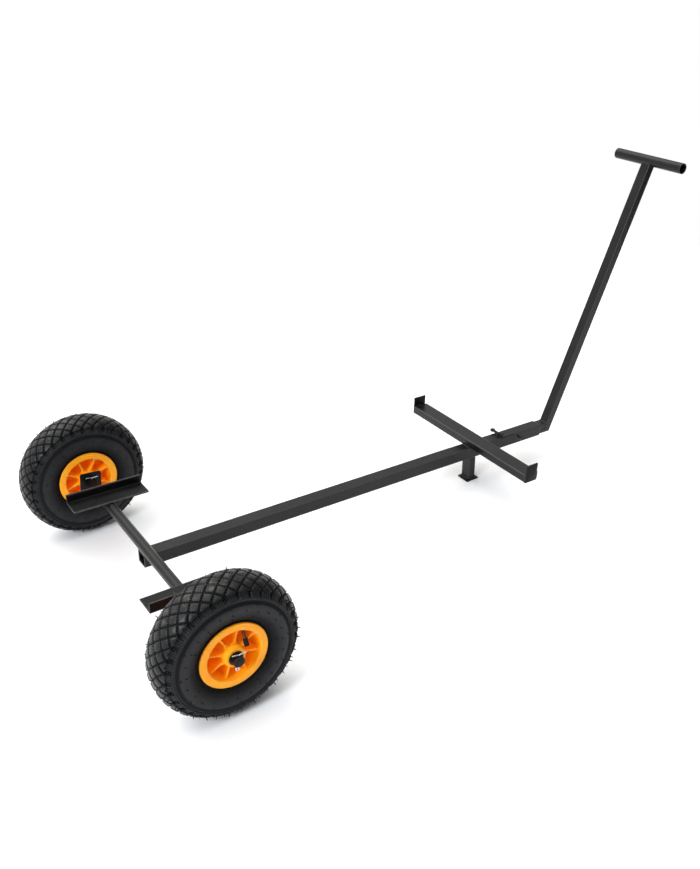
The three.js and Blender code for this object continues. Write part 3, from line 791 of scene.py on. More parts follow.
guide = sweep(
    "rod_guide",
    round_outline(GUIDE_RADIUS, 40),
    -BEAM_WIDTH / 2 + 1,
    -BEAM_WIDTH / 2 + 1 + GUIDE_LENGTH,
    steel @ axes((LATCH_X, 0, latch_z), (0, 1, 0), (1, 0, 0)),
    inner=round_outline(GUIDE_BORE, 40),
    soft=((0, 0.3), (0.3, 0), (1, 0)),
)
finished(guide, "frame", "black_steel", "latch_guide")

outside = -BEAM_WIDTH / 2 - SIDE_GAP
eye_y = BEAM_WIDTH / 2 + 4
rod_path = [
    (LATCH_X, eye_y, latch_z),
    (LATCH_X, 4, latch_z),
    (LATCH_X, -8, latch_z),
    (LATCH_X, outside + 5, latch_z),
    (LATCH_X + 1.6, outside + 1.4, latch_z),
    (LATCH_X + 6, outside, latch_z),
    (LATCH_X + 24, outside, latch_z - 0.5),
    (TOOTH_X - 12, outside, BEAM_MIDDLE + 4.5),
    (TOOTH_X - 5, outside, BEAM_MIDDLE + 1),
    (TOOTH_X - 1, outside + 1.6, BEAM_MIDDLE),
    (TOOTH_X, outside + 5, BEAM_MIDDLE),
    (TOOTH_X, -BEAM_WIDTH / 2 + TOOTH_DEPTH - 1.5, BEAM_MIDDLE),
]
rod_line = smooth_path(rod_path, 1.5)
latch = gathered("latch_bent_rod", [wire_mesh(rod_line, [LATCH_ROD] * len(rod_line), 20)], steel)
eye_middle = eye_y + 2
eye_place = steel @ axes((LATCH_X, eye_middle, latch_z - EYE_THICK / 2), (0, 0, 1), (1, 0, 0))
soft = ((0, 1.2), (0.4, 0.5), (1.2, 0))
eye = sweep("tool", round_outline(EYE_RADIUS + 2.3, 48), 0, EYE_THICK, eye_place, soft=soft)
combined(latch, [eye], "UNION", 50)
low_end, high_end = ((LATCH_X, eye_middle, latch_z + reach) for reach in (-8, 8))
combined(latch, [rod_tool(low_end, high_end, EYE_RADIUS - 1.2, steel)], "DIFFERENCE", 50)
finished(latch, "latch", "black_steel", "latch_rod")

# %% [markdown]
# ## Weld beads
#
# Every joint of the steelwork is welded, and the beads are what makes it look made instead of placed.
# They are laid in the corners where two pieces meet, half sunk in both, and each one has its own seed,
# because no two welds wander in the same way.

# %% Welds of the frame
def beads(name, body, parts):
    """Weld beads as one piece in the steel frame."""
    return finished(gathered(name, parts, steel, 70), body, "black_steel")


def bead_across(x, reach, z, thickness, seed):
    """A bead from right to left, as far on both sides."""
    return bead((x, -reach, z), (x, reach, z), thickness, seed)


def bead_along(rear, front, y, z, thickness, seed):
    """A bead from back to front."""
    return bead((rear, y, z), (front, y, z), thickness, seed)


WAYS = (-1, 1)
beam_half, leg_half = BEAM_WIDTH / 2, LEG_WIDTH / 2
axle_low = -TUBE_RADIUS + 1.4
beads("weld_beads_axle", "frame", [
    *(bead_across(way * 5.2, beam_half - 2, axle_low, 2.1, 11 + way) for way in WAYS),
    *(bead((way * 5.0, side * (CRADLE_INNER + 2), -axle_low),
           (way * 5.0, side * (CRADLE_OUTER - 3), -axle_low), 1.9, 20 + way + 3 * side)
      for way in WAYS for side in WAYS),
    *(ring_bead((0, side * (TUBE_HALF + 0.2), 0), (0, 1, 0), SHAFT_RADIUS + 0.1, 1.0, 30 + side)
      for side in WAYS),
])

channel_front = CHANNEL_REAR + CHANNEL_DEPTH
stop_y = CHANNEL_LENGTH / 2 + WELD_GAP - 0.4
beads("weld_beads_channel", "frame", [
    *(bead_across(x, beam_half - 3, CHANNEL_FLOOR + 0.4, 1.8, 40 + i)
      for i, x in enumerate((CHANNEL_REAR + 0.6, channel_front - 0.6))),
    *(bead_along(CHANNEL_REAR + 4, CHANNEL_REAR + STOP_WIDTH - 4, side * stop_y, z, 1.25, 50 + i + side)
      for side in WAYS for i, z in enumerate((CHANNEL_FLOOR + 0.8, CHANNEL_FLOOR + CHANNEL_HEIGHT - 0.2))),
])

leg_top_z, leg_middle = BEAM_BOTTOM - 0.5, LEG_MIDDLE / beam_way.x
LEG_BEAD_REAR, LEG_BEAD_FRONT = 781.5, 795
beads("weld_beads_leg", "frame", [
    *(bead_across(leg_middle + way * LEG_DEPTH / 2 - 1.6, leg_half - 2, leg_top_z, 1.7, 60 + way)
      for way in WAYS),
    *(bead_along(LEG_BEAD_REAR, LEG_BEAD_FRONT, side * (leg_half + 0.2), leg_top_z, 1.5, seed)
      for side, seed in ((-1, 64), (1, 65))),
])
foot_z = -wheel_radius + FOOT_THICK + 0.5
foot_reach = LEG_DEPTH / 2 - 2
foot_beads = gathered("weld_beads_foot", [
    *(bead_across(LEG_MIDDLE + way * LEG_DEPTH / 2, leg_half - 2, foot_z, 1.6, 70 + way) for way in WAYS),
    *(bead_along(LEG_MIDDLE - foot_reach, LEG_MIDDLE + foot_reach, way * leg_half, foot_z, 1.6, 75 + way)
      for way in WAYS),
], level, 70)
finished(foot_beads, "frame", "black_steel")
beads("weld_beads_latch", "frame", [
    bead((LATCH_X + way * 3, -beam_half + 2.5, BEAM_TOP + 1),
         (LATCH_X + way * 3, -3, BEAM_TOP + 1), 1.3, 80 + way)
    for way in WAYS
])

# %% Welds of the drawbar
insert_half, post_half = insert_width / 2, POST_WIDTH / 2
mitre_low = Vector((POST_FOOT - 0.2, 0, insert_bottom))
mitre_high = Vector((insert_front(0, insert_height / 2) + 0.1, 0, BEAM_MIDDLE + insert_height / 2))
saddle_side = post_root + (POST_LENGTH - 7.6) * post_way
rear = Vector((-post_way.z, 0, post_way.x))


def beside(point, y, up=0.0):
    """A point moved sideways and up."""
    return point + Vector((0, y, up))


beads("weld_beads_drawbar", "drawbar", [
    *(bead(beside(mitre_low, side * insert_half, 1.5),
           beside(mitre_high, side * insert_half, -1), 1.3, 90 + side)
      for side in WAYS),
    bead(beside(mitre_high, -insert_half + 2, 0.2), beside(mitre_high, insert_half - 2, 0.2), 1.7, 93),
    *(bead(beside(saddle_side + way * (POST_DEPTH / 2) * rear, -post_half + 2),
           beside(saddle_side + way * (POST_DEPTH / 2) * rear, post_half - 2), 1.6, 96 + way)
      for way in WAYS),
])

# %% [markdown]
# ## The tyre
#
# The tyre is the richest surface of the dolly. Its tread is a lattice of square blocks set on their
# corners, with saw-toothed grooves between them; each second row runs out over the shoulder as a lug,
# and below the lugs come a knurled rib and a plain side wall with its vent nibs. Modelling one block and
# arraying it with a curve modifier is the usual way, and it bends the blocks at the shoulder. Here the
# section of the tyre is walked as one line, and a function says how deep the mould cuts at each place.
# The grid of the mesh is tied to the lattice, so that the grooves run straight along its diagonals.

# %% Tyre section
TYRE_RADIUS, TYRE_HALF, BEAD_RADIUS = 130, 42.5, 52
RIM_HALF, LIP_RADIUS, LIP_THICK = 37, 61, 3.2
LATTICE_ROUND, LATTICE_ACROSS, CELLS = 33, 23.0, 18
GROOVE_DEPTH, BLOCK_DOME = 2.6, 0.6
AROUND = 2 * math.pi * TYRE_RADIUS / LATTICE_ROUND
BLOCK_PITCH = AROUND * LATTICE_ACROSS / math.hypot(AROUND, LATTICE_ACROSS)
TEETH, SHOULDER_RIBS = 4, 5
TREAD_EDGE, RIB_AT, STEP_AT = 36.5, 48.5, 57.0


def outer_section():
    """Distance from the crown, radius and sideways place, walked along half of the outer skin."""
    a = np.linspace(math.pi / 2, -0.36 * math.pi, 1500)
    middle, deep = (TYRE_RADIUS + BEAD_RADIUS) / 2, (TYRE_RADIUS - BEAD_RADIUS) / 2
    r = middle + deep * np.sign(np.sin(a)) * np.abs(np.sin(a)) ** 0.87
    y = TYRE_HALF * np.abs(np.cos(a)) ** 0.87
    keep = r > LIP_RADIUS + 2.6
    r, y = r[keep], y[keep]
    walked = np.concatenate([[0], np.cumsum(np.hypot(np.diff(r), np.diff(y)))])
    return walked, r, y


walked, skin_r, skin_y = outer_section()
print("half a section is", round(walked[-1], 1), "mm from crown to bead")


def step(low, high, x):
    """0 below low, 1 above high, and a smooth rise between."""
    t = np.clip((x - low) / (high - low), 0, 1)
    return t * t * (3 - 2 * t)


def band(low, risen, falling, high, x):
    """0 outside low to high, 1 from risen to falling, and smooth between."""
    return step(low, risen, x) * (1 - step(falling, high, x))


# %% How deep the mould cuts
def tread_depth(turn, v):
    """Depth below the tyre's envelope at a turn, in lattice periods, and a distance v from the crown."""
    b = v / LATTICE_ACROSS
    off = np.minimum(np.abs((turn + b) % 1 - 0.5), np.abs((turn - b) % 1 - 0.5)) * BLOCK_PITCH
    cut = 1 - step(0.4, 1.8, off)
    dome = BLOCK_DOME * (1 - off / (BLOCK_PITCH / 2)) ** 2
    return np.maximum(GROOVE_DEPTH * cut, dome) * (1 - step(TREAD_EDGE - 1.0, TREAD_EDGE + 0.5, np.abs(v)))


def shoulder_depth(turn, v):
    """The shoulder falls back under the edge of the tread, and further between the lugs."""
    v = np.abs(v)
    column = np.abs(turn - np.round(turn))
    between = 1 - step(0.12, 0.2, column)
    side = 2.3 * band(TREAD_EDGE, TREAD_EDGE + 1.6, TREAD_EDGE + 5, RIB_AT - 0.8, v)
    recess = 2.8 * between * band(TREAD_EDGE - 2.5, TREAD_EDGE + 0.8, RIB_AT - 2.6, RIB_AT - 0.8, v)
    return side + recess


def wall_depth(v):
    """The knurled rib stands proud, then a flat band, a small step and the plain wall."""
    v = np.abs(v)
    rib = 1.3 * band(RIB_AT - 1, RIB_AT - 0.1, RIB_AT + 1.0, RIB_AT + 1.9, v)
    ditch = 1.5 * band(RIB_AT + 1.0, RIB_AT + 2.6, STEP_AT - 2.5, STEP_AT + 5, v)
    ridge = 0.4 * band(STEP_AT - 0.8, STEP_AT + 0.4, STEP_AT + 1.2, STEP_AT + 2.4, v)
    bead_line = 0.6 * band(86.5, 87.5, 88.5, 89.5, v)
    flat = 1.3 * step(RIB_AT - 2.5, RIB_AT - 1, v) - 0.3 * step(STEP_AT, STEP_AT + 6, v)
    return flat - rib + ditch - ridge - bead_line


# %% Tyre mesh
def tyre_rows():
    """Distances from the crown, from one bead to the other: close together where the mould has detail."""
    tread = np.arange(0, TREAD_EDGE, LATTICE_ACROSS / CELLS)
    shoulder = np.arange(tread[-1] + 1.0, STEP_AT + 3.0, 1.15)
    wall = np.linspace(shoulder[-1] + 3, 84, 6)
    bead_rows = [*np.arange(86, 90.1, 1.0), walked[-1] - 2, walked[-1]]
    half = np.concatenate([tread, shoulder, wall, bead_rows])
    return np.concatenate([-half[:0:-1], half])


HIDDEN_LAYERS = {"relief": 1.0, "wall": 1.0, "knurl": 0.0, "lug": 0.0, "across": 9.0}
CASING_MIDDLE, CASING_REACH, CASING_HALF = 91, 32, 35.5


def hidden_section():
    """The part of the section inside the rim: one bead, the inside of the casing and the other bead."""
    flank = RIM_HALF - LIP_THICK - 0.5
    heel = [
        (LIP_RADIUS + 1.6, flank + 0.6),
        (LIP_RADIUS - 0.6, flank),
        (BEAD_RADIUS + 1, flank),
        (BEAD_RADIUS, flank - 1),
        (BEAD_RADIUS, flank - 7),
    ]
    angles = [math.radians(a) for a in (50, 90, 130, 230, 270, 310)]
    casing = [(CASING_MIDDLE - CASING_REACH * math.cos(a), CASING_HALF * math.sin(a)) for a in angles]
    return np.array([*heel, *casing, *((r, -y) for r, y in reversed(heel))])


def tyre_mesh():
    """The tyre as one closed skin about its own axle, in metres, with what the rubber material needs."""
    v = tyre_rows()
    r = np.interp(np.abs(v), walked, skin_r)
    y = np.interp(np.abs(v), walked, skin_y) * np.sign(v)
    slope_r, slope_y = np.gradient(r, v), np.gradient(y, v)
    length = np.hypot(slope_r, slope_y)
    out_r, out_y = slope_y / length, -slope_r / length
    count = LATTICE_ROUND * CELLS
    turn = np.arange(count) / CELLS
    grid_turn, grid_v = np.meshgrid(turn, v, indexing="ij")
    depth = tread_depth(grid_turn, grid_v) + shoulder_depth(grid_turn, grid_v) + wall_depth(grid_v)
    skin = np.stack([r - out_r * depth, y - out_y * depth], -1)
    hidden = hidden_section()
    section = np.concatenate([skin, np.broadcast_to(hidden, (count, *hidden.shape))], 1)
    angle = 2 * math.pi * turn[:, None] / LATTICE_ROUND
    radius, sideways = section[..., 0], section[..., 1]
    points = np.stack([radius * np.cos(angle), sideways, radius * np.sin(angle)], -1)
    rows = section.shape[1]
    i, j = np.meshgrid(np.arange(count), np.arange(rows), indexing="ij")
    i1, j1 = (i + 1) % count, (j + 1) % rows
    faces = np.stack([i * rows + j, i1 * rows + j, i1 * rows + j1, i * rows + j1], -1).reshape(-1, 4)
    out = np.abs(grid_v)
    seen = {
        "relief": 1 - np.clip(depth / 3.0, 0, 1),
        "wall": step(TREAD_EDGE - 0.5, TREAD_EDGE + 1, out),
        "knurl": band(RIB_AT - 1.4, RIB_AT - 0.2, RIB_AT + 1.4, RIB_AT + 2.2, out),
        "lug": band(TREAD_EDGE, TREAD_EDGE + 1.5, RIB_AT - 2.5, RIB_AT - 1.2, out),
        "across": grid_v / LATTICE_ACROSS,
    }
    layers = {}
    for name, values in seen.items():
        layers[name] = np.full((count, rows), HIDDEN_LAYERS[name])
        layers[name][:, :len(v)] = values
    return points.reshape(-1, 3) * MM, faces, layers


def skin_place(turn_angle, v):
    """A point of the skin, and its outward direction, at an angle round the wheel."""
    (r, r1), (y, y1) = (np.interp([abs(v), abs(v) + 1], walked, line) for line in (skin_r, skin_y))
    y, y1 = math.copysign(y, v), math.copysign(y1, v)
    way = Vector((y1 - y, -(r1 - r))) * math.copysign(1, v)
    way.normalize()
    c, s = math.cos(turn_angle), math.sin(turn_angle)
    return Vector((r * c, y, r * s)), Vector((way.x * c, way.y, way.x * s))


# %% [markdown]
# Vent nibs and hairs are what is left where rubber crept into the mould's vents. They are tiny, but they
# are the first thing that tells a new tyre from a drawn one, so they are real geometry: short pegs on the
# side wall and thin whiskers along the edge of the tread.

# %% Vent nibs and hairs
NIB_ROWS = ((61, 29.5), (69, 16.5), (72, 1.5), (82, 1.0))


def vents():
    """Pegs and whiskers as closed shells, in millimetres about the wheel's axle."""
    draw = np.random.default_rng(7)
    parts = []
    for side in (1, -1):
        for v, phase in NIB_ROWS:
            for k in range(12):
                angle = math.radians(phase + 30 * k + draw.normal(0, 0.8))
                root, way = skin_place(angle, side * (v + draw.normal(0, 0.6)))
                lean = Vector(draw.normal(0, 0.35, 3))
                tall = 1.2 + 0.6 * draw.random()
                line = [root - 1.2 * way, root + 0.3 * way, root + tall * (way + lean).normalized()]
                parts.append(wire_mesh(line, [0.95, 0.8, 0.5], 6))
        for k in range(2 * LATTICE_ROUND):
            if draw.random() < 0.25:
                continue
            v = TREAD_EDGE - 0.8 if k % 2 else TREAD_EDGE + 5.5
            root, way = skin_place(math.pi * (k + 0.05 + draw.normal(0, 0.12)) / LATTICE_ROUND, side * v)
            root -= (0.2 if k % 2 else 2.0) * way
            lean = Vector(draw.normal(0, 0.3, 3))
            tip = root + (4.4 + 2.4 * draw.random()) * (way + lean).normalized()
            parts.append(wire_mesh([root - way, root.lerp(tip, 0.5), tip], [1.15, 0.85, 0.35], 5))
    return parts


def set_layers(mesh, layers, extra=0):
    """Writes named numbers on the points of a mesh, with zeros for points that were added after them."""
    for name, values in layers.items():
        flat = np.concatenate([values.ravel(), np.zeros(extra)]).astype(np.float32)
        mesh.attributes.new(name, "FLOAT", "POINT").data.foreach_set("value", flat)


skin_points, skin_faces, layers = tyre_mesh()
all_points = [tuple(p) for p in skin_points]
all_faces = [tuple(int(i) for i in f) for f in skin_faces]
for some_points, some_faces in vents():
    start = len(all_points)
    all_points += [tuple(MM * c for c in p) for p in some_points]
    all_faces += [tuple(start + i for i in f) for f in some_faces]
tyre_data = mesh_object("tyre_pattern", all_points, all_faces)
set_layers(tyre_data.data, layers, len(all_points) - len(skin_points))
turn_out(tyre_data, 42)
print("one tyre has", len(all_faces), "faces")


def on_wheel(mesh, name, word, finish, *nodes):
    """A piece that shares a mesh drawn about the axle, put on one wheel."""
    made = bpy.data.objects.new(name + "_" + word, mesh)
    bpy.context.scene.collection.objects.link(made)
    made.matrix_world = wheel_place(SIDES[word]) @ Matrix.Scale(1 / MM, 4)
    return finished(made, "wheel_" + word, finish, *nodes)


def on_both_wheels(pattern, name, finish, node):
    """Puts a copy of a pattern on each wheel and throws the pattern away."""
    mesh = pattern.data
    bpy.data.objects.remove(pattern)
    return [on_wheel(mesh, name, word, finish, node + "_" + word) for word in SIDES]


tyres = on_both_wheels(tyre_data, "pneumatic_tyre", "rubber", "tyre")

# %% [markdown]
# ## The rim
#
# The rim is one injection moulding. A lathe outline gives the flanges, the barrel, the web across the
# middle and the coned hub, with a radius in every corner, because plastic shrinks badly in sharp ones.
# Eight thin ribs brace the hub against the barrel on both sides of the web. Each rib flares where it
# meets the hub and the barrel. Two booleans finish the rim: the union with the ribs, and the cut that
# gives the valve its room.

# %% Rim
BARREL_RADIUS, RIM_WALL = 51, 3.6
WEB_THICK, HUB_RADIUS, HUB_HALF = 5, 18, 41
BUSH_RADIUS, BUSH_LENGTH, BUSH_PROUD = 12.6, 18, 2.2
RIB_COUNT, RIB_THICK, RIB_SETBACK, RIB_PHASE = 8, 3.6, 8, math.radians(16.6)
LATHE_STEPS = 160


def rounded_loop(corners, steps=4):
    """A closed outline whose corners (r, y, radius) are turned into arcs."""
    loop = []
    n = len(corners)
    for i, (r, y, radius) in enumerate(corners):
        here = Vector((r, y))
        before = (Vector(corners[i - 1][:2]) - here).normalized()
        after = (Vector(corners[(i + 1) % n][:2]) - here).normalized()
        if radius == 0 or abs(before.dot(after)) > 0.9995:
            loop.append(here)
            continue
        half = math.acos(max(-1, min(1, before.dot(after)))) / 2
        reach = radius / math.tan(half)
        centre = here + (before + after).normalized() * radius / math.sin(half)
        a, b = here + before * reach - centre, here + after * reach - centre
        for k in range(steps + 1):
            loop.append(centre + a.slerp(b, k / steps, a) if a.length > 1e-6 else centre)
    return loop


def lathed(name, loop, count, smooth_angle=30):
    """Turns a closed outline of (r, y) about the Y axis, in metres."""
    points, faces, rows = [], [], len(loop)
    for i in range(count):
        a = 2 * math.pi * i / count
        points += [(MM * p[0] * math.cos(a), MM * p[1], MM * p[0] * math.sin(a)) for p in loop]
    for i in range(count):
        for j in range(rows):
            i1, j1 = (i + 1) % count, (j + 1) % rows
            faces.append((i * rows + j, i1 * rows + j, i1 * rows + j1, i * rows + j1))
    made = mesh_object(name, points, faces, smooth_angle=smooth_angle)
    turn_out(made)
    return made


def rim_loop():
    """Half the section of the rim, then its mirror image."""
    web = WEB_THICK / 2
    inside = BARREL_RADIUS - RIM_WALL
    pocket = HUB_HALF - BUSH_LENGTH - WELD_GAP
    half = [
        (BARREL_RADIUS, RIM_HALF - LIP_THICK - 0.6, 1.5),
        (LIP_RADIUS, RIM_HALF - LIP_THICK, 0.9),
        (LIP_RADIUS, RIM_HALF, 1.3),
        (inside, RIM_HALF, 1.4),
        (inside - 0.8, web, 3.0),
        (HUB_RADIUS + 4.8, web, 4.0),
        (HUB_RADIUS + 1.6, RIM_HALF - RIB_SETBACK - 3, 4.0),
        (HUB_RADIUS, RIM_HALF - RIB_SETBACK + 5, 3.0),
        (HUB_RADIUS, HUB_HALF, 1.0),
        (BUSH_RADIUS + 0.3, HUB_HALF, 0.5),
        (BUSH_RADIUS + 0.3, pocket, 0),
        (SHAFT_RADIUS + 1.5, pocket, 0),
    ]
    return rounded_loop([*half, *((r, -y, radius) for r, y, radius in reversed(half))])


def rib(angle):
    """One rib from hub to barrel, right through the web, drawn in millimetres."""
    first, last = HUB_RADIUS - 2, BARREL_RADIUS - RIM_WALL + 1.4
    stations = np.linspace(first, last, 22)
    at_hub = 2.6 * np.exp(-(stations - first - 2) / 2.6)
    at_barrel = 1.9 * np.exp(-(last - 1.4 - stations) / 1.8)
    swell = np.minimum(RIB_THICK / 2 + at_hub + at_barrel, 6.5)
    outline = [(r, -t, 0) for r, t in zip(stations, swell)]
    outline += [(r, -t, 0) for r, t, _ in reversed(outline)]
    top = RIM_HALF - RIB_SETBACK

    def height(r, t):
        return top + 5.0 * math.exp(-(r - HUB_RADIUS) / 3.2) + 2.0 * math.exp(-(last - 1.4 - r) / 1.6)

    place = metres @ axes((0, 0, 0), (0, 1, 0), (math.cos(angle), 0, math.sin(angle)))
    soft = ((0, 0.9), (0.25, 0.45), (0.9, 0))
    return sweep("tool", outline, lambda r, t: -height(r, t), height, place, soft=soft)


VALVE_ANGLE = math.radians(125)
VALVE_RADIUS, CAP_RADIUS, CAP_LENGTH = 3.1, 4.2, 13
valve_way = Vector((math.cos(VALVE_ANGLE), 0, math.sin(VALVE_ANGLE)))
valve_start = (BARREL_RADIUS + 2) * valve_way + Vector((0, 12.5, 0))
valve_bend = 43 * valve_way + Vector((0, 20, 0))
valve_end = Vector((-23, 37.1, 10.1))
valve_out = (valve_end - valve_bend).normalized()
cap_start = valve_end - CAP_LENGTH * valve_out

rim = lathed("rim_pattern", rim_loop(), LATHE_STEPS)
combined(rim, [rib(RIB_PHASE + 2 * math.pi * k / RIB_COUNT) for k in range(RIB_COUNT)], "UNION", 34)
combined(rim, [
    rod_tool(start, stop, radius, metres, 28) for start, stop, radius in (
        (valve_bend, valve_start + (valve_start - valve_bend).normalized(), VALVE_RADIUS + 0.6),
        (valve_bend - valve_out, valve_end, VALVE_RADIUS + 0.6),
        (cap_start - valve_out, valve_end + valve_out, CAP_RADIUS + 0.5),
    )
], "DIFFERENCE", 34)
print("the rim has", len(rim.data.polygons), "faces")
rims = on_both_wheels(rim, "ribbed_rim", "orange_plastic", "rim")

# %% [markdown]
# ## Bushes and valve
#
# A plain plastic bush in each end of the hub takes the shaft. The valve is a short bent stem that pokes
# out of the barrel between two ribs, with a fluted dust cap that unscrews.

# %% Bushes
for where, way in (("outer", 1), ("inner", -1)):
    bush = sweep(
        "bush_pattern",
        round_outline(BUSH_RADIUS, ROUND_SIDES),
        HUB_HALF - BUSH_LENGTH,
        HUB_HALF + BUSH_PROUD,
        metres @ axes((0, 0, 0), (0, way, 0), (1, 0, 0)),
        inner=round_outline(SHAFT_RADIUS + 0.12, ROUND_SIDES),
        soft=((0, 0.6), (0.18, 0.18), (0.6, 0), (1.5, 0)),
    )
    on_both_wheels(bush, f"hub_bush_{where}", "black_plastic", f"bush_{where}")

# %% Valve
stem_line = smooth_path([
    valve_start,
    valve_start.lerp(valve_bend, 0.6),
    valve_bend.lerp(valve_end, 0.18),
    cap_start,
    valve_end - 3 * valve_out,
], 0.9)
stem_radii = []
for i, p in enumerate(stem_line):
    near_start = (p - valve_start).length
    collar = 0.45 * math.exp(-((near_start - 3) / 2.2) ** 2)
    thread = 0.14 * math.sin(i * 2.4) if (p - cap_start).length < 4 else 0
    stem_radii.append(VALVE_RADIUS - 0.1 + collar + thread)
stem = gathered("stem_pattern", [wire_mesh(stem_line, stem_radii, 24)], metres, 50)
on_both_wheels(stem, "valve_tube", "brass", "valve_stem")

FLUTES, FLUTE_DEPTH = 10, 0.22
flutes = []
for i in range(8 * FLUTES):
    a = 2 * math.pi * i / (8 * FLUTES)
    reach = CAP_RADIUS - FLUTE_DEPTH + FLUTE_DEPTH * math.cos(FLUTES * a)
    flutes.append((reach * math.cos(a), reach * math.sin(a), 0.3))
cap = sweep("cap_pattern", flutes, 0, CAP_LENGTH, metres @ axes(cap_start, valve_out, valve_out.orthogonal()),
            soft=((0, 0.7), (0.2, 0.25), (0.7, 0), (1.4, 0)))
bore = rod_tool(cap_start - valve_out, valve_end - 2.2 * valve_out, VALVE_RADIUS + 0.4, metres, 28)
combined(cap, [bore], "DIFFERENCE", 45)
on_both_wheels(cap, "dust_cap", "black_plastic", "valve_cap")

# %% [markdown]
# ## Shader helpers
#
# Each finish is built from nodes in code. A small class holds a node tree and gives a short name to each
# kind of node that the finishes use, so that a chain of nodes reads like arithmetic. A node group is
# made once for each effect that several finishes share, and every finish then dials it with its own
# numbers.

# %% Node helpers
class Graph:
    """A node tree. Where a method takes a value, it may be a number, a colour or another node's output."""

    def __init__(self, tree):
        self.tree = tree

    def add(self, kind, inputs=None, **fields):
        """A node with its fields and its inputs set."""
        node = self.tree.nodes.new("ShaderNode" + kind)
        for name, value in fields.items():
            setattr(node, name, value)
        for name, value in (inputs or {}).items():
            socket = node.inputs[name]
            if isinstance(value, bpy.types.NodeSocket):
                self.tree.links.new(value, socket)
            else:
                socket.default_value = value
        return node

    def maths(self, operation, a, b=0.5, c=0.5, clamp=False):
        """One step of arithmetic."""
        return self.add("Math", {0: a, 1: b, 2: c}, operation=operation, use_clamp=clamp).outputs[0]

    def times(self, a, b, clamp=False):
        return self.maths("MULTIPLY", a, b, clamp=clamp)

    def times_plus(self, a, b, c):
        """a times b, plus c."""
        return self.maths("MULTIPLY_ADD", a, b, c)

    def largest(self, a, b):
        return self.maths("MAXIMUM", a, b)

    def away_from(self, a, b):
        """How far a is from b, whichever is larger."""
        return self.maths("ABSOLUTE", self.maths("SUBTRACT", a, b))

    def sine(self, a, turns):
        return self.maths("SINE", self.times(a, turns))

    def remap(self, value, low, high, to_low=0.0, to_high=1.0):
        """A smooth change from one range to another."""
        given = {"Value": value, "From Min": low, "From Max": high, "To Min": to_low, "To Max": to_high}
        return self.add("MapRange", given, interpolation_type="SMOOTHSTEP").outputs["Result"]

    def noise(self, where, scale, detail=3.0, roughness=0.55):
        given = {"Vector": where, "Scale": scale, "Detail": detail, "Roughness": roughness}
        return self.add("TexNoise", given).outputs["Fac"]

    def layer(self, name):
        """A number that was written on the mesh."""
        return self.add("Attribute", attribute_name=name).outputs["Fac"]

    def place(self, kind="Object"):
        return self.add("TexCoord").outputs[kind]

    def parts(self, vector):
        """The X, Y and Z of a vector."""
        return self.add("SeparateXYZ", {0: vector}).outputs

    def mixed(self, factor, a, b):
        """A colour between two colours."""
        return self.add("Mix", {0: factor, 6: a, 7: b}, data_type="RGBA").outputs[2]

    def bumped(self, height, distance):
        given = {"Height": height, "Distance": distance, "Strength": 1.0}
        return self.add("Bump", given).outputs["Normal"]

    def use(self, group, **inputs):
        """Places a group and dials it. Gives its outputs."""
        return self.add("Group", inputs, node_tree=group.tree).outputs


class Group(Graph):
    """A node group whose sockets are numbers. given holds what comes in, and give fills what goes out."""

    def __init__(self, name, outputs, **inputs):
        super().__init__(bpy.data.node_groups.new(name, "ShaderNodeTree"))
        sockets = self.tree.interface
        for label, value in inputs.items():
            made = sockets.new_socket(label, in_out="INPUT", socket_type="NodeSocketFloat")
            made.default_value = value
        for label in outputs:
            sockets.new_socket(label, in_out="OUTPUT", socket_type="NodeSocketFloat")
        self.given = self.tree.nodes.new("NodeGroupInput").outputs
        self.out = self.tree.nodes.new("NodeGroupOutput").inputs

    def give(self, **sockets):
        for label, socket in sockets.items():
            self.tree.links.new(socket, self.out[label])


# %% [markdown]
# ## Effects that finishes share
#
# `rubbed_edges` finds where paint or skin is thin: it takes the `edge` number that the sweeps wrote and
# breaks it up with noise, so that wear comes in short runs. `paint_film` is the slight orange peel of
# a sprayed coat, with patches that are a little duller. `moulded_skin` is the spark-eroded grain that
# a mould leaves on plastic and rubber. The dust group marks patches on whatever faces up: settled dust
# on the paint, and on the tyre's crown the place of a painted sheen. `round_the_wheel` gives
# the angle and the radius of a point, which is what marks made by a lathe or a mould follow.
# `tread_lattice` draws the saw-toothed grooves between the tread blocks, and the comb of fine ribs on
# the shoulder, both too fine for the mesh.

# %% Group: rubbed edges
rubbed_edges = g = Group("rubbed_edges", ["Rubbed"], Edge=0.0, Amount=0.5, Scale=140.0)
place = g.place()
runs = g.noise(place, g.given["Scale"], 4)
nicks = g.noise(place, 900, 2)
wear = g.times(g.times_plus(runs, 0.75, g.times(nicks, 0.35)), g.given["Edge"])
g.give(Rubbed=g.times(g.remap(wear, 0.44, 0.72), g.given["Amount"], clamp=True))

# %% Group: paint film
paint_film = g = Group("paint_film", ["Height", "Tone", "Dull"], Peel=620.0, Patches=14.0)
place = g.place()
peel = g.noise(place, g.given["Peel"], 2, 0.4)
grit = g.noise(place, 2600, 2)
patches = g.noise(place, g.given["Patches"], 4)
speckle = g.remap(g.noise(place, 1500, 1), 0.56, 0.74)
g.give(
    Height=g.times_plus(grit, 0.25, peel),
    Tone=g.remap(patches, 0.3, 0.7),
    Dull=g.times_plus(patches, 0.7, g.times(speckle, 0.5)),
)

# %% Group: moulded skin
moulded_skin = g = Group("moulded_skin", ["Height", "Tone", "Dull"], Grain=1800.0, Flow=30.0)
place = g.place()
grain = g.noise(place, g.given["Grain"], 2)
flow = g.noise(place, g.given["Flow"], 5, 0.65)
g.give(
    Height=grain,
    Tone=g.remap(flow, 0.25, 0.75),
    Dull=g.times_plus(flow, 0.6, g.times(grain, 0.4)),
)
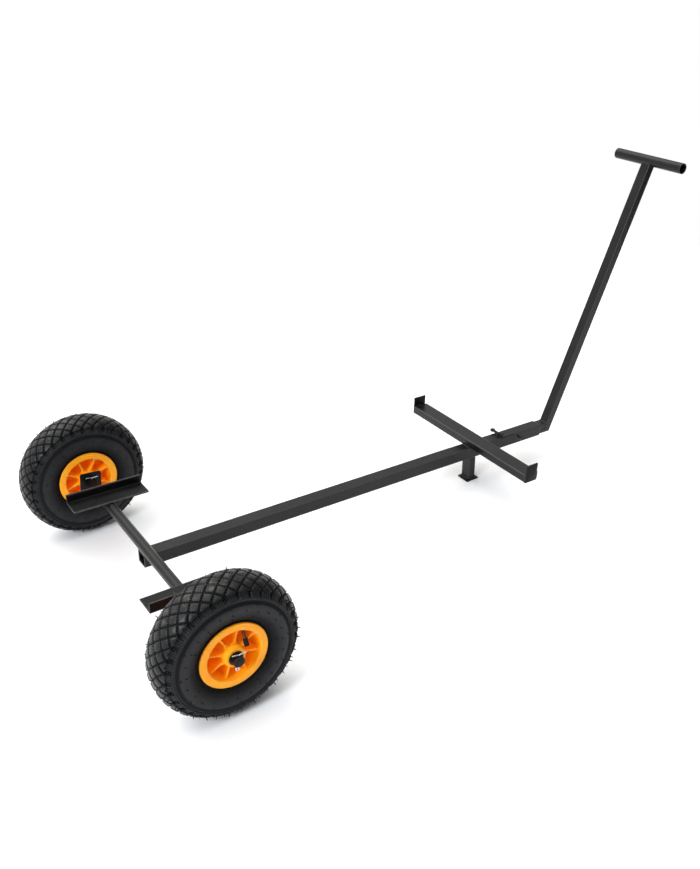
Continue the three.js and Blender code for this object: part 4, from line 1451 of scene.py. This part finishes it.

# %% Group: dust and sheen
settled_dust = g = Group("settled_dust", ["Dust"], Amount=0.3)
facing = g.parts(g.add("NewGeometry").outputs["Normal"])["Z"]
patchy = g.remap(g.noise(g.place(), 60, 6, 0.7), 0.35, 0.75)
lying = g.times(g.remap(facing, 0.35, 0.95), patchy)
g.give(Dust=g.times(lying, g.given["Amount"]))

# %% Group: round the wheel
round_the_wheel = g = Group("round_the_wheel", ["Turn", "Radius"])
parts = g.parts(g.place())
squares = g.times_plus(parts["X"], parts["X"], g.times(parts["Z"], parts["Z"]))
g.give(Turn=g.maths("ARCTAN2", parts["Z"], parts["X"]), Radius=g.maths("SQRT", squares))

# %% Group: tread lattice
TOOTH_REACH = 1.9
tread_lattice = g = Group("tread_lattice", ["Groove", "Comb"], Turn=0.0, Across=0.0)
periods = g.times(g.given["Turn"], LATTICE_ROUND / (2 * math.pi))
ways = [g.maths(sign, periods, g.given["Across"]) for sign in ("ADD", "SUBTRACT")]
lines = []
for along, other in (ways, ways[::-1]):
    share = g.away_from(g.maths("FRACT", along), 0.5)
    tooth = g.maths("GREATER_THAN", g.maths("FRACT", g.times(other, TEETH)), 0.5)
    off = g.times_plus(share, BLOCK_PITCH, g.times(tooth, -TOOTH_REACH))
    lines.append(g.remap(off, 0.3, 0.6, 1.0, 0.0))
comb = g.sine(g.given["Turn"], LATTICE_ROUND * SHOULDER_RIBS)
g.give(Groove=g.largest(*lines), Comb=g.remap(comb, -0.6, 0.6))
print("groups:", [group.name for group in bpy.data.node_groups])


# %% [markdown]
# ## The finishes
#
# Satin black paint is not one black. It is a very dark warm grey whose highlights do most of the work, so
# its roughness and bump matter more than its colour. Four versions are used: one for tube, one for plate
# with the coarser skin of hot-rolled bar, whose darker greys and lower shine also paint in the shade seen
# on the cradles, washers and plates, a darker one for the latch rod, and a glossier one for the
# weld beads, because paint runs thick there.

# %% Satin black paint
class Finish(Graph):
    """A material. Plain numbers go straight on the sockets of its Principled shader."""

    def __init__(self, name, **plain):
        self.material = bpy.data.materials.new(name)
        self.material.use_nodes = True
        super().__init__(self.material.node_tree)
        self.shader = self.tree.nodes["Principled BSDF"]
        for label, value in plain.items():
            self.shader.inputs[label.replace("_", " ")].default_value = value

    def feed(self, **sockets):
        for label, socket in sockets.items():
            self.tree.links.new(socket, self.shader.inputs[label.replace("_", " ")])


def grey(level, warm=0.0):
    return (level * (1 + warm), level, level * (1 - warm), 1)


# A painted highlight: how far the coat along the corners is mixed towards a pale grey, for the bright line
# that rolled edges catch.
EDGE_HIGHLIGHT = 0.8
EDGE_HIGHLIGHT_GREY, BARE_METAL, DUST = grey(0.05, 0.02), grey(0.2, 0.02), (0.26, 0.25, 0.23, 1)


def black_paint(name, shine, peel, peel_depth, dark, light, gloss, wear, dust):
    """Paint between two greys, lightened along the edges as a painted highlight, rubbed through in places,
    and dusty on top.
    """
    g = Finish(name, IOR=1.5, Specular_IOR_Level=shine)
    film = g.use(paint_film, Peel=peel, Patches=16.0)
    edge = g.layer("edge")
    rubbed = g.use(rubbed_edges, Edge=edge, Amount=wear, Scale=150.0)["Rubbed"]
    dusty = g.use(settled_dust, Amount=dust)["Dust"]
    coat = g.mixed(film["Tone"], grey(dark, 0.03), grey(light, 0.05))
    # Painted highlight: the coat turns paler along the corners.
    edge_lit_coat = g.mixed(g.times(edge, EDGE_HIGHLIGHT), coat, EDGE_HIGHLIGHT_GREY)
    worn = g.mixed(rubbed, edge_lit_coat, BARE_METAL)
    g.feed(
        Base_Color=g.mixed(dusty, worn, DUST),
        Roughness=g.times_plus(film["Dull"], 0.2, g.times_plus(dusty, 0.4, gloss)),
        Normal=g.bumped(film["Height"], peel_depth),
    )
    return g.material


tube_paint = black_paint("tube_paint", shine=0.26, peel=620.0, peel_depth=0.0001,
                         dark=0.0035, light=0.0075, gloss=0.25, wear=0.12, dust=0.012)
# The plate version's darker greys and lower shine are partly painted shade.
plate_paint = black_paint("plate_paint", shine=0.15, peel=380.0, peel_depth=0.00013,
                          dark=0.0022, light=0.005, gloss=0.3, wear=0.2, dust=0.01)
rod_paint = black_paint("rod_paint", shine=0.15, peel=700.0, peel_depth=0.00004,
                        dark=0.0012, light=0.003, gloss=0.36, wear=0.1, dust=0.01)
weld_paint = black_paint("weld_paint", shine=0.3, peel=900.0, peel_depth=0.00005,
                         dark=0.0035, light=0.007, gloss=0.2, wear=0.1, dust=0.02)

# %% [markdown]
# Rubber takes its look from relief: the floor of a groove is dull, and it is coloured almost black as
# painted shade; the face of a block is greyer and shines where it is flat. The numbers `relief`, `wall`,
# `knurl`, `lug` and `across` were written on the tyre's mesh, so the same material can turn from tread to
# side wall without a second slot. A pale bloom lies on the crown, where the blocks face up, and the same
# patches paint in a warm sheen of light on them. The side wall is painted darker, as shade, near the rim,
# in the ditch and between the ribs of the comb.

# %% Rubber
RING_SPACING, KNURLS = 0.0024, 264
rubber = g = Finish("tyre_rubber", IOR=1.5, Specular_IOR_Level=0.2)
skin = g.use(moulded_skin, Grain=1500.0, Flow=24.0)
wheel = g.use(round_the_wheel)
relief, wall, knurl, lug, across = map(g.layer, ("relief", "wall", "knurl", "lug", "across"))
lattice = g.use(tread_lattice, Turn=wheel["Turn"], Across=across)
groove = g.times(lattice["Groove"], g.maths("SUBTRACT", 1.0, wall))
comb = g.times(lattice["Comb"], lug)

# A pale bloom on the up-facing blocks of the crown, which also paints in the warm sheen that light leaves on
# them: partly bloom, partly painted sheen.
bloom_and_sheen = g.remap(g.noise(g.place(), 110, 4, 0.6), 0.42, 0.66)
bloom_and_sheen = g.times(bloom_and_sheen, g.remap(g.maths("ABSOLUTE", across), 0.3, 1.5, 1.0, 0.0))
bloom_and_sheen = g.times(bloom_and_sheen, g.use(settled_dust, Amount=1.0)["Dust"])
block = g.mixed(skin["Tone"], (0.008, 0.0083, 0.0088, 1), (0.016, 0.0166, 0.0174, 1))
block = g.mixed(bloom_and_sheen, block, (0.13, 0.12, 0.092, 1))
# Painted shade: the groove lines and the deep places of the mesh are coloured near black.
deep = (0.0008, 0.0008, 0.0009, 1)
tread_colour = g.mixed(groove, g.mixed(g.remap(relief, -0.1, 0.3), deep, block), deep)

open_wall = g.mixed(skin["Tone"], (0.0095, 0.0101, 0.0115, 1), (0.0165, 0.0173, 0.0195, 1))
# Painted shade on the side wall: darker close to the rim, in the ditch behind the knurled rib, and between
# the fine ribs of the shoulder comb.
painted_rim_shade = g.remap(wheel["Radius"], 0.066, 0.09, 0.9, 0.0)
ditch = g.remap(g.away_from(wheel["Radius"], 0.1), 0.0018, 0.0045, 0.85, 0.0)
painted_wall_shade = g.largest(painted_rim_shade, g.largest(ditch, g.times(comb, 0.75)))
wall_colour = g.mixed(painted_wall_shade, open_wall, (0.0015, 0.0016, 0.0018, 1))

rings = g.sine(wheel["Radius"], 2 * math.pi / RING_SPACING)
knurls = g.times(g.sine(wheel["Turn"], KNURLS), knurl)
height = g.times_plus(knurls, 3.0, skin["Height"])
height = g.times_plus(comb, -9.0, height)
height = g.times_plus(groove, -10.0, height)
height = g.times_plus(g.times(rings, wall), 0.16, height)
shine = g.times_plus(skin["Dull"], 0.26, g.times_plus(wall, 0.12, 0.17))
g.feed(
    Base_Color=g.mixed(wall, tread_colour, wall_colour),
    Roughness=g.times_plus(g.largest(groove, painted_wall_shade), 0.45, shine),
    Normal=g.bumped(height, 0.0001),
)

# %% [markdown]
# The other finishes are one recipe: a colour that drifts between two where the melt or the plating
# flowed, and a fine grain. The rim's plastic is polypropylene coloured through. Light goes a little way
# in, so thin ribs glow, and that is what its subsurface weight gives. Its faint orange emission is a
# painted glow, which makes the whole rim, lip and wells alike, brighter than the lamps alone make it.

# %% Orange plastic, zinc, black plastic and valve brass
def grained(name, grain, flow, dark, light, dull, gloss, depth, **plain):
    """A finish whose colour drifts between two, with a fine grain. Gives it and where it drifts."""
    g = Finish(name, **plain)
    skin = g.use(moulded_skin, Grain=grain, Flow=flow)
    g.feed(
        Base_Color=g.mixed(skin["Tone"], dark, light),
        Roughness=g.times_plus(skin["Dull"], dull, gloss),
        Normal=g.bumped(skin["Height"], depth),
    )
    return g, skin["Tone"]


# Its faint emission is a painted glow: the rim gives off orange light of its own.
orange, drift = grained(
    "orange_moulding", 2400.0, 26.0, (1.0, 0.36, 0.004, 1), (1.0, 0.42, 0.008, 1),
    dull=0.2, gloss=0.32, depth=0.00003, IOR=1.49, Specular_IOR_Level=0.3, Emission_Strength=0.07,
    Subsurface_Weight=0.35, Subsurface_Scale=0.006, Subsurface_Radius=(1.0, 0.3, 0.04),
)
orange.feed(Emission_Color=orange.mixed(drift, (1.0, 0.17, 0.0, 1), (1.0, 0.2, 0.0, 1)))
zinc, _ = grained(
    "bright_zinc", 2600.0, 90.0, (0.62, 0.63, 0.65, 1), (0.86, 0.87, 0.88, 1),
    dull=0.25, gloss=0.14, depth=0.00003, Metallic=1.0,
)
black_plastic, _ = grained(
    "black_moulding", 2000.0, 60.0, grey(0.003), grey(0.008),
    dull=0.3, gloss=0.3, depth=0.00004, IOR=1.49, Specular_IOR_Level=0.3,
)
brass, _ = grained(
    "valve_brass", 2200.0, 70.0, (0.12, 0.06, 0.02, 1), (0.24, 0.13, 0.045, 1),
    dull=0.3, gloss=0.3, depth=0.00004, Metallic=0.85,
)

# %% [markdown]
# Every piece now gets its finish, from the slot that it already names. Steel is the one slot with four
# versions, so the name of the piece decides between tube, plate, rod and weld.

# %% Give each piece its finish
BY_SLOT = {
    "rubber": rubber.material,
    "orange_plastic": orange.material,
    "zinc": zinc.material,
    "black_plastic": black_plastic.material,
    "brass": brass.material,
}
BY_WORD = {
    "rod": rod_paint,
    "weld": weld_paint,
    **dict.fromkeys(("cradle", "washer", "stop", "foot", "shaft"), plate_paint),
}
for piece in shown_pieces():
    finish = BY_SLOT.get(piece.get("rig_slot"))
    if finish is None:
        finish = next((paint for word, paint in BY_WORD.items() if word in piece.name), tube_paint)
    if "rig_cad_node" not in piece:
        piece.data.materials.clear()
        piece.data.materials.append(finish)

# %% [markdown]
# ## Floor and studio
#
# A photographer would put this dolly on white paper and light it from big soft sources. The world is dim
# on the near side and bright beyond the dolly and overhead, so that the steel stays black while the
# paper stays white. A very wide sun stands for a bank of lights over the far side, and one cool softbox
# behind the wheels makes the bright patches on the tread.

# %% Floor
SHEET_HALF, SHEET_FRONT, SHEET_BACK = 2.0, -1.15, 3.0
corners = [
    (-SHEET_HALF, SHEET_FRONT, 0),
    (SHEET_HALF, SHEET_FRONT, 0),
    (SHEET_HALF, SHEET_BACK, 0),
    (-SHEET_HALF, SHEET_BACK, 0),
]
floor_mesh = bpy.data.meshes.new("studio_floor")
floor_mesh.from_pydata(corners, [], [(0, 1, 2, 3)])
floor = bpy.data.objects.new("studio_floor", floor_mesh)
bpy.context.scene.collection.objects.link(floor)
floor.location.z = -0.0005
paper = Finish("white_paper", Roughness=0.9, Specular_IOR_Level=0.1)
fibre = paper.noise(paper.place(), 300, 3)
paper.feed(Base_Color=paper.mixed(fibre, (0.95, 0.95, 0.95, 1), (0.98, 0.98, 0.98, 1)))
floor_mesh.materials.append(paper.material)

# %% Lights
NEAR_LIGHT, FAR_LIGHT, TOP_LIGHT = 0.17, 1.12, 1.8
world = bpy.data.worlds.new("studio_world")
bpy.context.scene.world = world
world.use_nodes = True
g = Graph(world.node_tree)
parts = g.parts(g.place("Generated"))
away = g.times_plus(parts["X"], -0.5, g.times(parts["Y"], 0.83))
overhead = g.remap(parts["Z"], 0.72, 0.95, 0.0, TOP_LIGHT)
light_level = g.maths("ADD", g.remap(away, -0.75, 0.9, NEAR_LIGHT, FAR_LIGHT), overhead)
seen_by_camera = g.add("LightPath").outputs["Is Camera Ray"]
backdrop = g.mixed(seen_by_camera, light_level, (1, 1, 1, 1))
g.tree.links.new(backdrop, g.tree.nodes["Background"].inputs["Color"])


def lamp(name, kind, power, colour, shines_from, **fields):
    """A light that shines from a direction."""
    made = bpy.data.lights.new(name, kind)
    made.energy, made.color = power, colour
    for field, value in fields.items():
        setattr(made, field, value)
    holder = bpy.data.objects.new(name, made)
    bpy.context.scene.collection.objects.link(holder)
    holder.rotation_euler = Vector(shines_from).to_track_quat("Z", "Y").to_euler()
    return holder


lamp("far_bank", "SUN", 0.9, (1.0, 0.97, 0.91), (-0.1, 0.62, 0.78), angle=math.radians(50))
box_spot, box_aim = Vector((-2.9, -1.0, 2.0)), Vector((-0.6, -0.3, 0.1))
softbox = lamp("rear_softbox", "AREA", 55, (0.88, 0.93, 1.0), box_spot - box_aim,
               shape="RECTANGLE", size=0.8, size_y=0.8)
softbox.location = box_spot
bpy.context.scene.view_settings.view_transform = "Standard"
